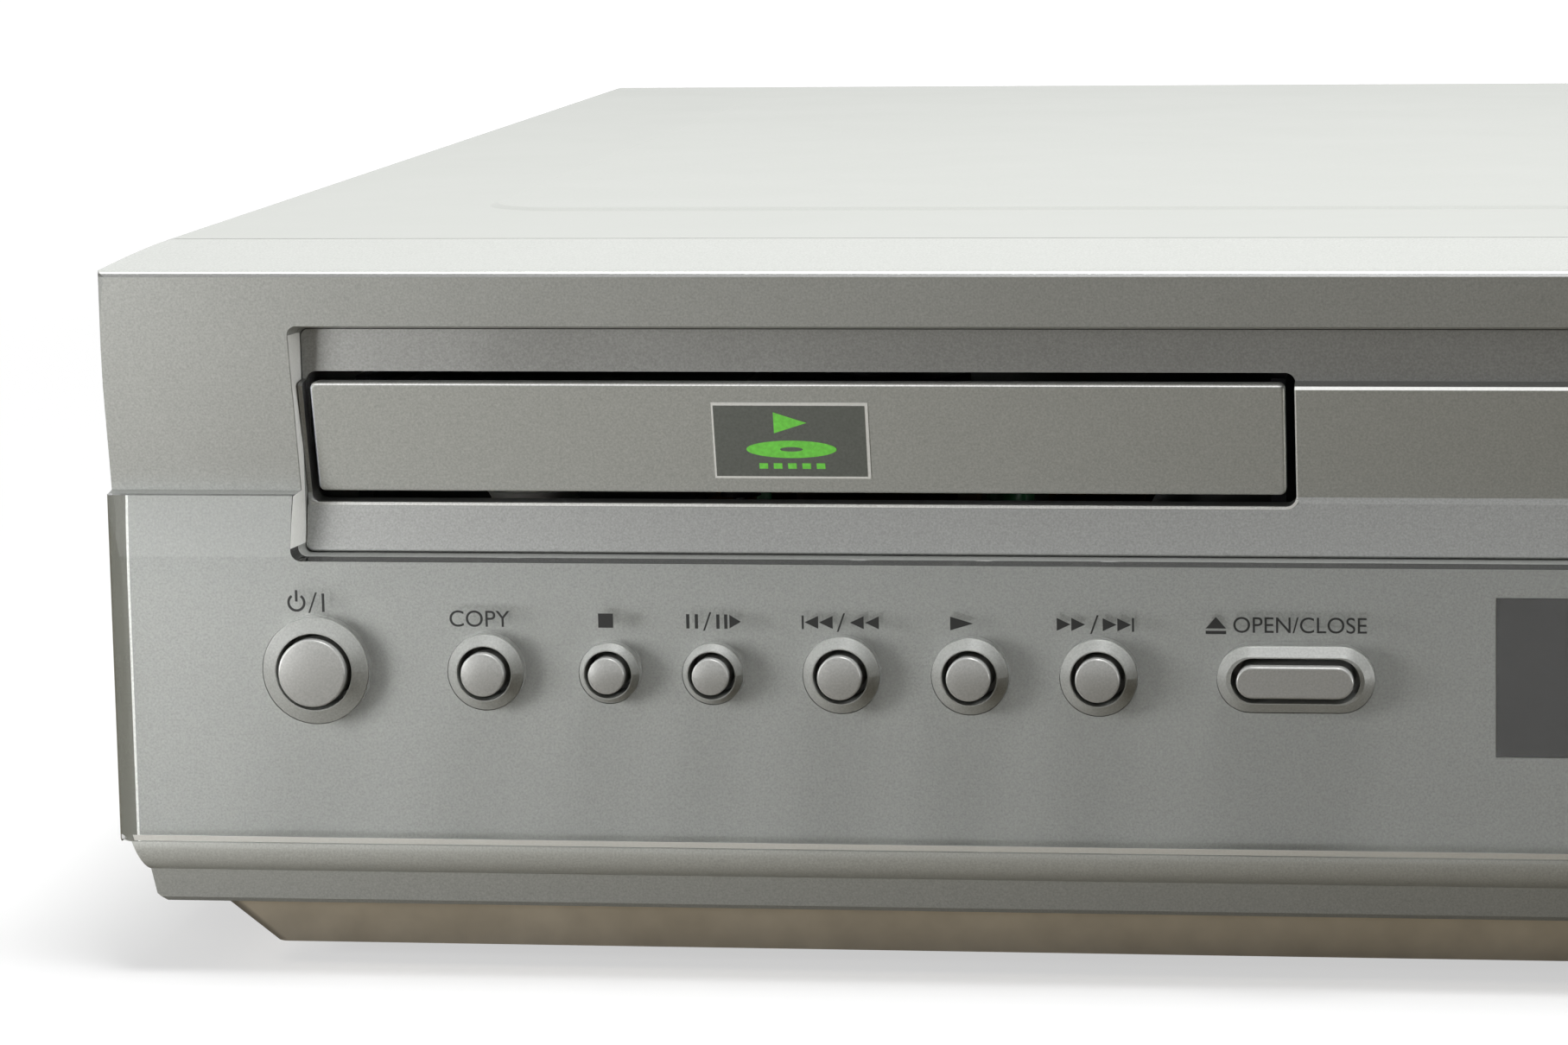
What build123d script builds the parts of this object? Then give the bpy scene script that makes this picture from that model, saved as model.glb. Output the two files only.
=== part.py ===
"""Disc and tape combination player: pressed steel case, moulded front, disc loader and tape deck."""
import os
from math import acos, atan2, cos, degrees, pi, radians, sin, tan

from build123d import *

os.makedirs("parts", exist_ok=True)

# The whole machine: X to the right, the front faces -Y, Z up from the table it stands on
WIDTH = 430.0
HEIGHT = 101.8
HALF = WIDTH / 2
FACE_Y = -174.5  # front face of the clear control plate
CAP_Y = -177.0  # faces of the button caps, the foremost thing
BACK_Y = 172.0  # outer face of the rear panel
SOCKET_Y = 177.0  # tips of the rear sockets, the rearmost thing

# Case
SHEET = 0.8
WALL = 2.4
FOOT_HEIGHT = 3.0
PAN_FLOOR = FOOT_HEIGHT + 1.0
BEAD_RISE = 1.0
BOARD_TOP, MAIN_TOP = 17.6, 15.6
FIELD_RISE = 0.4
COVER_TOP = HEIGHT - FIELD_RISE
COVER_FOOT = 7.0
BEZEL_DEPTH = 28.0
SEAM = 0.4

# Heights on the front
EDGE_Z = 99.4
WAIST_Z = 68.5
PLATE_TOP = 68.2
PLATE_FOOT = 19.1
COVE_FOOT = 14.5
SILL_FOOT = 9.4

# Depths behind the control plate's face
LEAN_TOP = 0.3
LEAN_FOOT = 4.8
PLATE_THICK = 3.2
PLATE_GAP = 0.05
COVE_DEPTH = 4.0
SILL_DEPTH = 5.4

# Recess in the front and the door surround that fills it
RECESS_HALF = 188.5
RECESS_FOOT = 59.2
RECESS_TOP = 92.3
SURROUND_HALF = 187.6
SURROUND_FOOT = 59.8
SURROUND_TOP = 91.0
COLLAR_DEPTH = 9.4
FIT = 0.1

# The band that the tray door and the cassette flap share
BAND_TOP = 83.5
BAND_FOOT = 67.8
STRIP_DEPTH = 6.4
BAND_TOP_DEPTH = 4.0
BAND_FOOT_DEPTH = 7.5
LOWER_DEPTH = 5.4
SKIN = 2.0

# Tray mouth and door
MOUTH_LEFT, MOUTH_RIGHT = -187.0, -49.2
MOUTH_FOOT, MOUTH_TOP = 66.6, 85.1
DOOR_LEFT, DOOR_RIGHT = -186.0, -50.6
DOOR_FOOT, DOOR_TOP = 68.1, 83.8

# Cassette flap and the mouth behind it
FLAP_LEFT, FLAP_RIGHT = -11.6, 185.8
FLAP_GAP = 0.5
FLAP_FOOT, FLAP_TOP = 61.0, 90.4
FLAP_AXIS_DEPTH = 7.5
FLAP_AXIS_Z = 89.4
PIN_RADIUS = 0.8
PIN_PLAY = 0.05

# Buttons: cap, hole and the mouth in the plate, all as diameters. A conical boss of the bezel fills the
# mouth and rises round the cap, and the cap is domed
ROW_Z = 43.9
TRAVEL = 0.8
ROUND_SIZES = {
    "large": (9.5, 10.8, 15.2),
    "medium": (6.1, 7.6, 10.8),
    "small": (5.1, 6.6, 8.6),
}
ROUND_BUTTONS = {
    "power_button": (-185.3, "large"),
    "copy_button": (-161.2, "medium"),
    "disc_stop_button": (-143.8, "small"),
    "disc_pause_button": (-129.3, "small"),
    "disc_previous_button": (-111.4, "medium"),
    "disc_play_button": (-93.6, "medium"),
    "disc_next_button": (-75.9, "medium"),
    "record_button": (86.0, "small"),
    "tape_stop_button": (100.5, "small"),
    "tape_rewind_button": (118.4, "medium"),
    "tape_play_button": (136.2, "medium"),
    "tape_forward_button": (153.9, "medium"),
}
OVAL_BUTTONS = {"open_close_button": -49.0, "tape_eject_button": 180.8}
OVAL_CAP = (15.9, 4.4)
OVAL_HOLE = (17.6, 6.2)
OVAL_MOUTH = (21.6, 9.3)
BOSS_PROUD = 1.1
BOSS_RIM = 0.15
BOSS_TAPER = 49
BOSS_GAP = 0.12
DOME_DROP = 0.25
DOME_EDGE = 0.3
FLANGE_Y = FACE_Y + PLATE_THICK + WALL + 0.2
STEM_TIP_Y = FLANGE_Y + 5.7
STEM_RADIUS = 2.0

# Display
DISPLAY_X = (-22.0, 66.0)
DISPLAY_Z = (33.0, 55.0)

# Front sockets
FRONT_SOCKETS_X = (150.0, 165.0, 180.0)
FRONT_SOCKETS_Z = 27.5
FRONT_SOCKET_HOLE = 11.0

# Disc loader, on its own centre line
LOADER_X = -118.3
DISC_Y = -92.0
DISC_POCKET = 60.5
SMALL_POCKET = 41.0
DISC_FLOOR, SMALL_FLOOR = 75.0, 74.2
TRAY_HALF = 64.0
TRAY_FOOT, TRAY_CEILING, TRAY_TOP = 70.0, 72.6, 78.0
TRAY_FRONT, TRAY_BACK = -164.0, -3.0
LOADER_WALL = 2.0
LOADER_FRONT, LOADER_BACK = -150.0, 4.0
LOADER_FLOOR = 46.0
LOADER_TOP = 82.0
SLOT_HALF = 20.0

# Rack and pinion that drive the tray
MODULE = 1.0
PINION_TEETH = 16
PRESSURE = radians(20)
PITCH_RADIUS = MODULE * PINION_TEETH / 2
TOOTH_PITCH = pi * MODULE
BACKLASH = 0.30
ADDENDUM = 0.80
DEDENDUM = 1.15
RACK_X = LOADER_X - 50.0
RACK_FRONT, RACK_BACK = -150.0, -4.0
PINION_X = RACK_X + PITCH_RADIUS
PINION_Y = -145.0
PINION_Z = (66.8, 69.8)
RACK_FOOT = 67.0

# Traverse that carries the turntable and the laser sled, drawn up and level as for playing
TRAVERSE_HALF = 36.0
TRAVERSE_Y = (-112.0, -2.0)
TRAVERSE_Z = (59.5, 63.0)
HINGE_Y, HINGE_Z = -6.0, 61.2
ROD_X = 24.0
ROD_Z = 66.3
ROD_RADIUS = 1.5
TURNTABLE_Z = 75.6

# Tape deck, on its own centre line
TAPE_X = 87.0
CHASSIS_X = (-17.0, 191.0)
CHASSIS_Y = (-132.0, 64.0)
CHASSIS_Z = 34.0
CHASSIS_THICK = 1.6
CHASSIS_TOP = CHASSIS_Z + CHASSIS_THICK
REEL_Y = -62.0
REEL_OFFSET = 46.0
DRUM_Y = 25.0
DRUM_TILT = 5.0
DRUM_FOOT = 42.0
DRUM_RADIUS = 31.0
DRUM_LOWER, DRUM_UPPER = 20.0, 18.0
CAPSTAN_X, CAPSTAN_Y = 139.0, -4.0
PINCH_PIVOT = (168.0, 12.0)
PINCH_ROLLER = (141.4, 11.1)
HOLDER_X = (-7.5, 181.5)
HOLDER_Y = (-134.0, -40.0)
HOLDER_Z = (60.2, 86.2)
HOLDER_PINS_Y = (-118.0, -52.0)
HOLDER_PIN_Z = 76.0
HOLDER_DROP = 18.0
SLIDE_IN = 25.0
SLIDE_PINS_Y = (-96.0, -60.0)
SLIDE_PIN_Z = 48.0

# Rear sockets
EURO_X = (118.0, 42.0)
EURO_Z = 62.0
AERIAL_X = 190.0
AERIAL_Z = (72.0, 48.0)
PHONO_X = (-20.0, -34.0, -48.0)
PHONO_Z = (70.0, 54.0)
INLET_X, INLET_Z = -186.0, 34.0


def deep(depth):
    """The Y of a plane that lies this far behind the control plate's face."""
    return FACE_Y + depth


def across(y):
    """A plane across the machine at this Y, drawn in X and Z, with its normal to the front."""
    return Plane.XZ.offset(-y)


def block(x, y, z, mode=Mode.ADD):
    """A plain block between its limits along the three axes."""
    with Locations(((x[0] + x[1]) / 2, (y[0] + y[1]) / 2, (z[0] + z[1]) / 2)):
        Box(abs(x[1] - x[0]), abs(y[1] - y[0]), abs(z[1] - z[0]), mode=mode)


def upright(x, y, radius, z, mode=Mode.ADD):
    """An upright cylinder between two heights."""
    with Locations((x, y, (z[0] + z[1]) / 2)):
        Cylinder(radius, abs(z[1] - z[0]), mode=mode)


def rod_along_x(x, y, z, radius, mode=Mode.ADD):
    """A cylinder that lies along X between two limits."""
    with Locations(Location(((x[0] + x[1]) / 2, y, z), (0, 90, 0))):
        Cylinder(radius, abs(x[1] - x[0]), mode=mode)


def rod_along_y(x, y, z, radius, mode=Mode.ADD):
    """A cylinder that lies along Y between two limits."""
    with Locations(Location((x, (y[0] + y[1]) / 2, z), (90, 0, 0))):
        Cylinder(radius, abs(y[1] - y[0]), mode=mode)


def turned(x, y, outline, mode=Mode.ADD):
    """Turn an outline of radius and height points about an upright axis."""
    with BuildSketch(Plane(origin=(x, y, 0), x_dir=(1, 0, 0), z_dir=(0, -1, 0))) as section:
        with BuildLine():
            Polyline(*outline, close=True)
        make_face()
    revolve(section.sketch, axis=Axis((x, y, 0), (0, 0, 1)), mode=mode)


def turned_along_y(x, z, outline, mode=Mode.ADD):
    """Turn an outline of radius and Y points about an axis that points to the front."""
    with BuildSketch(Plane(origin=(x, 0, z), x_dir=(1, 0, 0), z_dir=(0, 0, 1))) as section:
        with BuildLine():
            Polyline(*outline, close=True)
        make_face()
    revolve(section.sketch, axis=Axis((x, 0, z), (0, 1, 0)), mode=mode)


def profile_along_x(outline, x, mode=Mode.ADD):
    """Extrude an outline of Y and Z points between two limits along X."""
    with BuildSketch(Plane.YZ.offset(x[0])) as section:
        with BuildLine():
            Polyline(*outline, close=True)
        make_face()
    extrude(section.sketch, amount=x[1] - x[0], mode=mode)


def band_depth(z):
    """Depth of the leaning band at a height."""
    share = (BAND_TOP - z) / (BAND_TOP - BAND_FOOT)
    return BAND_TOP_DEPTH + share * (BAND_FOOT_DEPTH - BAND_TOP_DEPTH)


def step_front(top, foot):
    """Front line of the recessed step from top to foot: strip, ledge, leaning band, crease, lower strip."""
    return [
        (deep(STRIP_DEPTH - 0.1), top),
        (deep(STRIP_DEPTH), BAND_TOP + 0.5),
        (deep(BAND_TOP_DEPTH + 0.4), BAND_TOP + 0.2),
        (deep(BAND_TOP_DEPTH), BAND_TOP - 0.2),
        (deep(BAND_FOOT_DEPTH), BAND_FOOT),
        (deep(BAND_FOOT_DEPTH - 0.5), BAND_FOOT - 0.8),
        (deep(LOWER_DEPTH), foot),
    ]


def step_skin(top, foot):
    """Closed section of a skin that follows the recessed step."""
    front = step_front(top, foot)
    return front + [(y + SKIN, z) for y, z in reversed(front)]


def cut_recess():
    """Cut the flared mouth of the recess, and the straight way behind it."""
    mouth_height = RECESS_TOP - RECESS_FOOT
    with BuildSketch(across(deep(-0.6))) as mouth:
        with Locations((0, RECESS_FOOT + mouth_height / 2)):
            RectangleRounded(2 * RECESS_HALF, mouth_height, 1.6)
    throat_height = SURROUND_TOP - SURROUND_FOOT + 2 * FIT
    with BuildSketch(across(deep(STRIP_DEPTH))) as throat:
        with Locations((0, (SURROUND_TOP + SURROUND_FOOT) / 2)):
            RectangleRounded(2 * (SURROUND_HALF + FIT), throat_height, 1.0)
    loft([mouth.sketch.faces()[0], throat.sketch.faces()[0]], mode=Mode.SUBTRACT)
    extrude(throat.sketch, amount=-12, mode=Mode.SUBTRACT)


# Moulded front bezel
bezel_front = [
    (deep(BEZEL_DEPTH), COVER_TOP),
    (deep(1.6), EDGE_Z + 0.35),
    (deep(0.9), EDGE_Z + 0.1),
    (deep(LEAN_TOP), EDGE_Z - 0.5),
    (deep(LEAN_FOOT), WAIST_Z),
    (deep(PLATE_THICK), PLATE_TOP),
    (deep(PLATE_THICK), PLATE_FOOT),
    (deep(0.9), PLATE_FOOT),
]
bezel_inside = [
    (deep(BEZEL_DEPTH + 1), COVER_TOP - WALL),
    (deep(LEAN_TOP + WALL + 1.5), EDGE_Z - WALL),
    (deep(LEAN_FOOT + WALL), WAIST_Z - 1.0),
    (deep(PLATE_THICK + WALL), PLATE_TOP - WALL),
    (deep(PLATE_THICK + WALL), COVE_FOOT),
    (deep(SILL_DEPTH + WALL), SILL_FOOT + WALL),
    (deep(BEZEL_DEPTH + 1), SILL_FOOT + WALL),
]
with BuildPart() as front_bezel:
    with BuildSketch(Plane.YZ) as bezel_section:
        with BuildLine():
            Polyline(*bezel_front)
            cove_start = (deep(0.9), PLATE_FOOT)
            cove_end = (deep(COVE_DEPTH), COVE_FOOT)
            ThreePointArc(cove_start, (deep(1.7), COVE_FOOT + 1.6), cove_end)
            Polyline(
                cove_end,
                (deep(SILL_DEPTH), SILL_FOOT + 0.7),
                (deep(SILL_DEPTH + 0.8), SILL_FOOT),
                (deep(BEZEL_DEPTH), SILL_FOOT),
                (deep(BEZEL_DEPTH), COVER_TOP),
            )
        make_face()
    extrude(amount=HALF, both=True)
    # Plan view: rounded front corners
    with BuildSketch(Plane.XY):
        with BuildLine():
            Polyline((-HALF, deep(BEZEL_DEPTH)), (HALF, deep(BEZEL_DEPTH)), (HALF, deep(2.6)))
            ThreePointArc((HALF, deep(2.6)), (HALF - 0.8, deep(0.8)), (HALF - 2.6, deep(0)))
            Line((HALF - 2.6, deep(0)), (2.6 - HALF, deep(0)))
            ThreePointArc((2.6 - HALF, deep(0)), (0.8 - HALF, deep(0.8)), (-HALF, deep(2.6)))
            Line((-HALF, deep(2.6)), (-HALF, deep(BEZEL_DEPTH)))
        make_face()
    extrude(amount=HEIGHT, mode=Mode.INTERSECT)
    # Front view: rounded top corners and the narrower sill
    with BuildSketch(across(deep(-1))):
        with BuildLine():
            Polyline(
                (3.0 - HALF, COVER_TOP),
                (HALF - 3.0, COVER_TOP),
            )
            ThreePointArc((HALF - 3.0, COVER_TOP), (HALF - 0.9, COVER_TOP - 0.9), (HALF, COVER_TOP - 3.0))
            Polyline(
                (HALF, COVER_TOP - 3.0),
                (HALF, PLATE_FOOT + 1.0),
                (HALF - 2.1, PLATE_FOOT),
                (HALF - 3.8, COVE_FOOT),
                (HALF - 4.2, SILL_FOOT + 1.2),
                (HALF - 5.4, SILL_FOOT),
                (5.4 - HALF, SILL_FOOT),
                (4.2 - HALF, SILL_FOOT + 1.2),
                (3.8 - HALF, COVE_FOOT),
                (2.1 - HALF, PLATE_FOOT),
                (-HALF, PLATE_FOOT + 1.0),
                (-HALF, COVER_TOP - 3.0),
            )
            ThreePointArc((-HALF, COVER_TOP - 3.0), (0.9 - HALF, COVER_TOP - 0.9), (3.0 - HALF, COVER_TOP))
        make_face()
    extrude(amount=-BEZEL_DEPTH - 2, mode=Mode.INTERSECT)
    # Hollow from behind, wider above the sill
    narrow = HALF - 4.2 - WALL
    profile_along_x(bezel_inside, (-narrow, narrow), mode=Mode.SUBTRACT)
    for side in (-1, 1):
        side_x = sorted((side * (narrow - 0.1), side * (HALF - WALL)))
        block(side_x, (deep(9.5), deep(BEZEL_DEPTH + 1)), (PLATE_FOOT + WALL, 97.0), mode=Mode.SUBTRACT)
    # Collar round the recess
    with BuildSketch(across(deep(6.5))):
        with Locations((0, (SURROUND_TOP + SURROUND_FOOT) / 2)):
            RectangleRounded(2 * SURROUND_HALF + 6, SURROUND_TOP - SURROUND_FOOT + 6, 2.5)
    extrude(amount=6.5 - COLLAR_DEPTH)
    block(
        (-SURROUND_HALF - 3, SURROUND_HALF + 3),
        (deep(PLATE_THICK + 0.2), deep(6.6)),
        (SURROUND_FOOT - 3, PLATE_TOP - 0.5),
    )
    block(
        (-SURROUND_HALF - 3, SURROUND_HALF + 3),
        (deep(LEAN_FOOT + 0.2), deep(6.6)),
        (PLATE_TOP - 1, SURROUND_TOP + 3),
    )
    cut_recess()
    # Conical bosses that rise through the control plate
    for x, size in ROUND_BUTTONS.values():
        hole, mouth = ROUND_SIZES[size][1:]
        foot_radius = mouth / 2 - BOSS_GAP
        rim_radius = hole / 2 + BOSS_RIM
        turned_along_y(
            x,
            ROW_Z,
            [
                (0, deep(PLATE_THICK + 1)),
                (0, deep(-BOSS_PROUD)),
                (rim_radius, deep(-BOSS_PROUD)),
                (foot_radius, deep(0)),
                (foot_radius, deep(PLATE_THICK + 1)),
            ],
        )
        rod_along_y(x, (deep(-2), deep(10)), ROW_Z, hole / 2, mode=Mode.SUBTRACT)
    for x in OVAL_BUTTONS.values():
        with BuildSketch(across(deep(PLATE_THICK + 0.5))):
            with Locations((x, ROW_Z)):
                SlotOverall(OVAL_MOUTH[0] - 2 * BOSS_GAP, OVAL_MOUTH[1] - 2 * BOSS_GAP)
        extrude(amount=PLATE_THICK + 0.5)
        with BuildSketch(across(deep(0))):
            with Locations((x, ROW_Z)):
                SlotOverall(OVAL_MOUTH[0] - 2 * BOSS_GAP, OVAL_MOUTH[1] - 2 * BOSS_GAP)
        extrude(amount=BOSS_PROUD, taper=BOSS_TAPER)
        with BuildSketch(across(deep(-2))):
            with Locations((x, ROW_Z)):
                SlotOverall(*OVAL_HOLE)
        extrude(amount=-12, mode=Mode.SUBTRACT)
    # Windows for the display and the front sockets
    block(DISPLAY_X, (deep(0), deep(10)), DISPLAY_Z, mode=Mode.SUBTRACT)
    for x in FRONT_SOCKETS_X:
        rod_along_y(x, (deep(0), deep(10)), FRONT_SOCKETS_Z, FRONT_SOCKET_HOLE / 2, mode=Mode.SUBTRACT)
front_bezel.part.label = "front_bezel"
export_step(front_bezel.part, "parts/front_bezel.step")

# Clear control plate: a thick acrylic sheet with bevelled ends and a rolled top edge
with BuildPart() as control_plate:
    with BuildSketch(Plane.YZ):
        with BuildLine():
            ThreePointArc((deep(1.6), PLATE_TOP), (deep(0.5), PLATE_TOP - 5.5), (deep(0), PLATE_TOP - 12.2))
            Polyline(
                (deep(0), PLATE_TOP - 12.2),
                (deep(0), PLATE_FOOT + 1.2),
                (deep(0.9), PLATE_FOOT),
                (deep(PLATE_THICK - PLATE_GAP), PLATE_FOOT),
                (deep(PLATE_THICK - PLATE_GAP), PLATE_TOP),
                (deep(1.6), PLATE_TOP),
            )
        make_face()
    extrude(amount=HALF, both=True)
    with BuildSketch(Plane.XY):
        with BuildLine():
            Polyline(
                (-HALF, deep(PLATE_THICK)),
                (HALF, deep(PLATE_THICK)),
                (HALF, deep(2.6)),
                (HALF - 0.7, deep(0.9)),
                (HALF - 2.6, deep(0)),
                (2.6 - HALF, deep(0)),
                (0.7 - HALF, deep(0.9)),
                (-HALF, deep(2.6)),
                close=True,
            )
        make_face()
    extrude(amount=HEIGHT, mode=Mode.INTERSECT)
    cut_recess()
    for x, size in ROUND_BUTTONS.values():
        mouth = ROUND_SIZES[size][2]
        rod_along_y(x, (deep(-1), deep(PLATE_THICK + 1)), ROW_Z, mouth / 2, mode=Mode.SUBTRACT)
    for x in OVAL_BUTTONS.values():
        with BuildSketch(across(deep(-1))):
            with Locations((x, ROW_Z)):
                SlotOverall(*OVAL_MOUTH)
        extrude(amount=-PLATE_THICK - 2, mode=Mode.SUBTRACT)
    for x in FRONT_SOCKETS_X:
        rod_along_y(x, (deep(-1), deep(5)), FRONT_SOCKETS_Z, FRONT_SOCKET_HOLE / 2, mode=Mode.SUBTRACT)
control_plate.part.label = "control_plate"
export_step(control_plate.part, "parts/control_plate.step")

# Door surround: stepped insert with the tray mouth and the cassette mouth
with BuildPart() as door_surround:
    profile_along_x(step_skin(SURROUND_TOP, SURROUND_FOOT), (-SURROUND_HALF, SURROUND_HALF))
    block(
        (-SURROUND_HALF, SURROUND_HALF),
        (deep(BAND_FOOT_DEPTH + 0.5), deep(COLLAR_DEPTH + 1.6)),
        (SURROUND_FOOT, SURROUND_TOP),
    )
    with BuildSketch(across(deep(0))):
        with Locations((0, (SURROUND_TOP + SURROUND_FOOT) / 2)):
            RectangleRounded(2 * SURROUND_HALF, SURROUND_TOP - SURROUND_FOOT, 1.1)
    extrude(amount=-COLLAR_DEPTH - 1.6, mode=Mode.INTERSECT)
    block(
        (-SURROUND_HALF - 2.8, SURROUND_HALF + 2.8),
        (deep(COLLAR_DEPTH), deep(COLLAR_DEPTH + 1.6)),
        (SURROUND_FOOT - 2.6, SURROUND_TOP + 2.6),
    )
    # End lugs with the bores of the flap's pins
    block((FLAP_RIGHT + FLAP_GAP, SURROUND_HALF), (deep(6.4), deep(9.5)), (84.0, 89.9))
    block((FLAP_LEFT - 3.0, FLAP_LEFT - FLAP_GAP), (deep(6.4), deep(9.5)), (84.0, 90.7))
    with BuildSketch(across(deep(2))):
        with Locations(((MOUTH_LEFT + MOUTH_RIGHT) / 2, (MOUTH_FOOT + MOUTH_TOP) / 2)):
            RectangleRounded(MOUTH_RIGHT - MOUTH_LEFT, MOUTH_TOP - MOUTH_FOOT, 1.4)
    extrude(amount=-10, mode=Mode.SUBTRACT)
    block(
        (FLAP_LEFT - FLAP_GAP, FLAP_RIGHT + FLAP_GAP),
        (deep(2), deep(12)),
        (FLAP_FOOT - FLAP_GAP, SURROUND_TOP + 0.5),
        mode=Mode.SUBTRACT,
    )
    bore = PIN_RADIUS + PIN_PLAY
    rod_along_x(
        (FLAP_LEFT - 1.9, FLAP_RIGHT + 1.5),
        deep(FLAP_AXIS_DEPTH),
        FLAP_AXIS_Z,
        bore,
        mode=Mode.SUBTRACT,
    )
    # Softened lips: under the tray mouth, and along the foot and the ends of the lower strip
    front_edges = [e for e in door_surround.edges() if e.bounding_box().max.Y < deep(BAND_FOOT_DEPTH - 0.4)]
    mouth_lip = [
        e
        for e in front_edges
        if MOUTH_LEFT - FIT < e.center().X < MOUTH_RIGHT + FIT and abs(e.center().Z - MOUTH_FOOT) < 0.3
    ]
    fillet(mouth_lip, radius=0.35)
    foot_edges = [e for e in door_surround.edges() if abs(e.center().Z - SURROUND_FOOT) < 0.35]
    foot_lip = [e for e in foot_edges if e.bounding_box().max.Y < deep(LOWER_DEPTH + 0.4)]
    fillet(foot_lip, radius=0.25)
door_surround.part.label = "door_surround"
export_step(door_surround.part, "parts/door_surround.step")

# Tray door: leaning front with rounded corners and soft edges, and a rib that clips to the tray's lip
with BuildPart() as tray_door:
    profile_along_x(
        [
            (deep(band_depth(DOOR_TOP)), DOOR_TOP),
            (deep(band_depth(DOOR_FOOT)), DOOR_FOOT),
            (deep(band_depth(DOOR_FOOT) + 2.6), DOOR_FOOT),
            (deep(band_depth(DOOR_TOP) + 3.2), DOOR_TOP),
        ],
        (DOOR_LEFT, DOOR_RIGHT),
    )
    fillet(tray_door.edges().filter_by(Axis.Y), radius=0.9)
    fillet(tray_door.faces().sort_by(Axis.Y)[0].edges(), radius=0.5)
    block((LOADER_X - 62, LOADER_X + 62), (deep(7.5), TRAY_FRONT), (70.2, 77.8))
tray_door.part.label = "tray_door"
export_step(tray_door.part, "parts/tray_door.step")


def rack_outline():
    """Rail with straight rack teeth on its inner side, drawn in X and Y."""
    half_gap = TOOTH_PITCH / 4
    points = [(RACK_X - 4.0, RACK_BACK), (RACK_X - 4.0, RACK_FRONT)]
    points.append((RACK_X - DEDENDUM, RACK_FRONT))
    for tooth in range(-1, int((RACK_BACK - PINION_Y) / TOOTH_PITCH)):
        middle = PINION_Y + (tooth + 0.5) * TOOTH_PITCH
        root = half_gap - BACKLASH / 2 + DEDENDUM * tan(PRESSURE)
        tip = half_gap - BACKLASH / 2 - ADDENDUM * tan(PRESSURE)
        points.append((RACK_X - DEDENDUM, middle - root))
        points.append((RACK_X + ADDENDUM, middle - tip))
        points.append((RACK_X + ADDENDUM, middle + tip))
        points.append((RACK_X - DEDENDUM, middle + root))
    points.append((RACK_X - DEDENDUM, RACK_BACK))
    return points


# Disc tray: two stepped pockets with sloping rims, finger notches at the front, a slot open to the back,
# and side rails with a hollow between them
with BuildPart() as disc_tray:
    block((LOADER_X - TRAY_HALF, LOADER_X + TRAY_HALF), (TRAY_FRONT, TRAY_BACK), (TRAY_FOOT, TRAY_TOP))
    fillet(disc_tray.edges().filter_by(Axis.Z).group_by(Axis.Y)[-1], radius=4)
    turned(
        LOADER_X,
        DISC_Y,
        [
            (0, SMALL_FLOOR),
            (SMALL_POCKET, SMALL_FLOOR),
            (SMALL_POCKET + 0.8, DISC_FLOOR),
            (DISC_POCKET, DISC_FLOOR),
            (DISC_POCKET, DISC_FLOOR + 1.4),
            (DISC_POCKET + 1.6, TRAY_TOP),
            (0, TRAY_TOP),
        ],
        mode=Mode.SUBTRACT,
    )
    for side in (-1, 1):
        upright(LOADER_X + side * 40, DISC_Y - 48, 9.0, (SMALL_FLOOR, TRAY_TOP), mode=Mode.SUBTRACT)
    block(
        (LOADER_X - 57, LOADER_X + 57),
        (RACK_FRONT, TRAY_BACK + 1),
        (TRAY_FOOT - 1, TRAY_CEILING),
        mode=Mode.SUBTRACT,
    )
    with BuildSketch(Plane.XY.offset(TRAY_FOOT - 1)):
        with Locations((LOADER_X, DISC_Y)):
            Circle(SLOT_HALF)
        with Locations((LOADER_X, (DISC_Y + TRAY_BACK + 5) / 2)):
            Rectangle(2 * SLOT_HALF, TRAY_BACK + 5 - DISC_Y)
    extrude(amount=12, mode=Mode.SUBTRACT)
disc_tray.part.label = "disc_tray"
export_step(disc_tray.part, "parts/disc_tray.step")

# Toothed rack that hangs under the tray's left side
with BuildPart() as tray_rack:
    with BuildSketch(Plane.XY.offset(RACK_FOOT)):
        with BuildLine():
            Polyline(*rack_outline(), close=True)
        make_face()
    extrude(amount=TRAY_CEILING - RACK_FOOT)
tray_rack.part.label = "tray_rack"
export_step(tray_rack.part, "parts/tray_rack.step")


def pinion_outline():
    """Involute teeth round the pinion, the first one pointing at the rack."""
    base = PITCH_RADIUS * cos(PRESSURE)
    tip = PITCH_RADIUS + ADDENDUM
    root = PITCH_RADIUS - DEDENDUM
    pitch_half = pi / PINION_TEETH / 2 - BACKLASH / 4 / PITCH_RADIUS
    pitch_roll = tan(PRESSURE) - PRESSURE
    steps = 3
    radii = [base + (tip - base) * step / steps for step in range(steps + 1)]
    flank = []
    for radius in radii:
        angle = acos(min(1.0, base / radius))
        flank.append((radius, pitch_half + pitch_roll - (tan(angle) - angle)))
    flank = [(root, flank[0][1])] + flank
    points = []
    for tooth in range(PINION_TEETH):
        middle = pi + tooth * 2 * pi / PINION_TEETH
        for radius, half_angle in flank:
            points.append((radius * cos(middle - half_angle), radius * sin(middle - half_angle)))
        for radius, half_angle in reversed(flank):
            points.append((radius * cos(middle + half_angle), radius * sin(middle + half_angle)))
    return points


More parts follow.
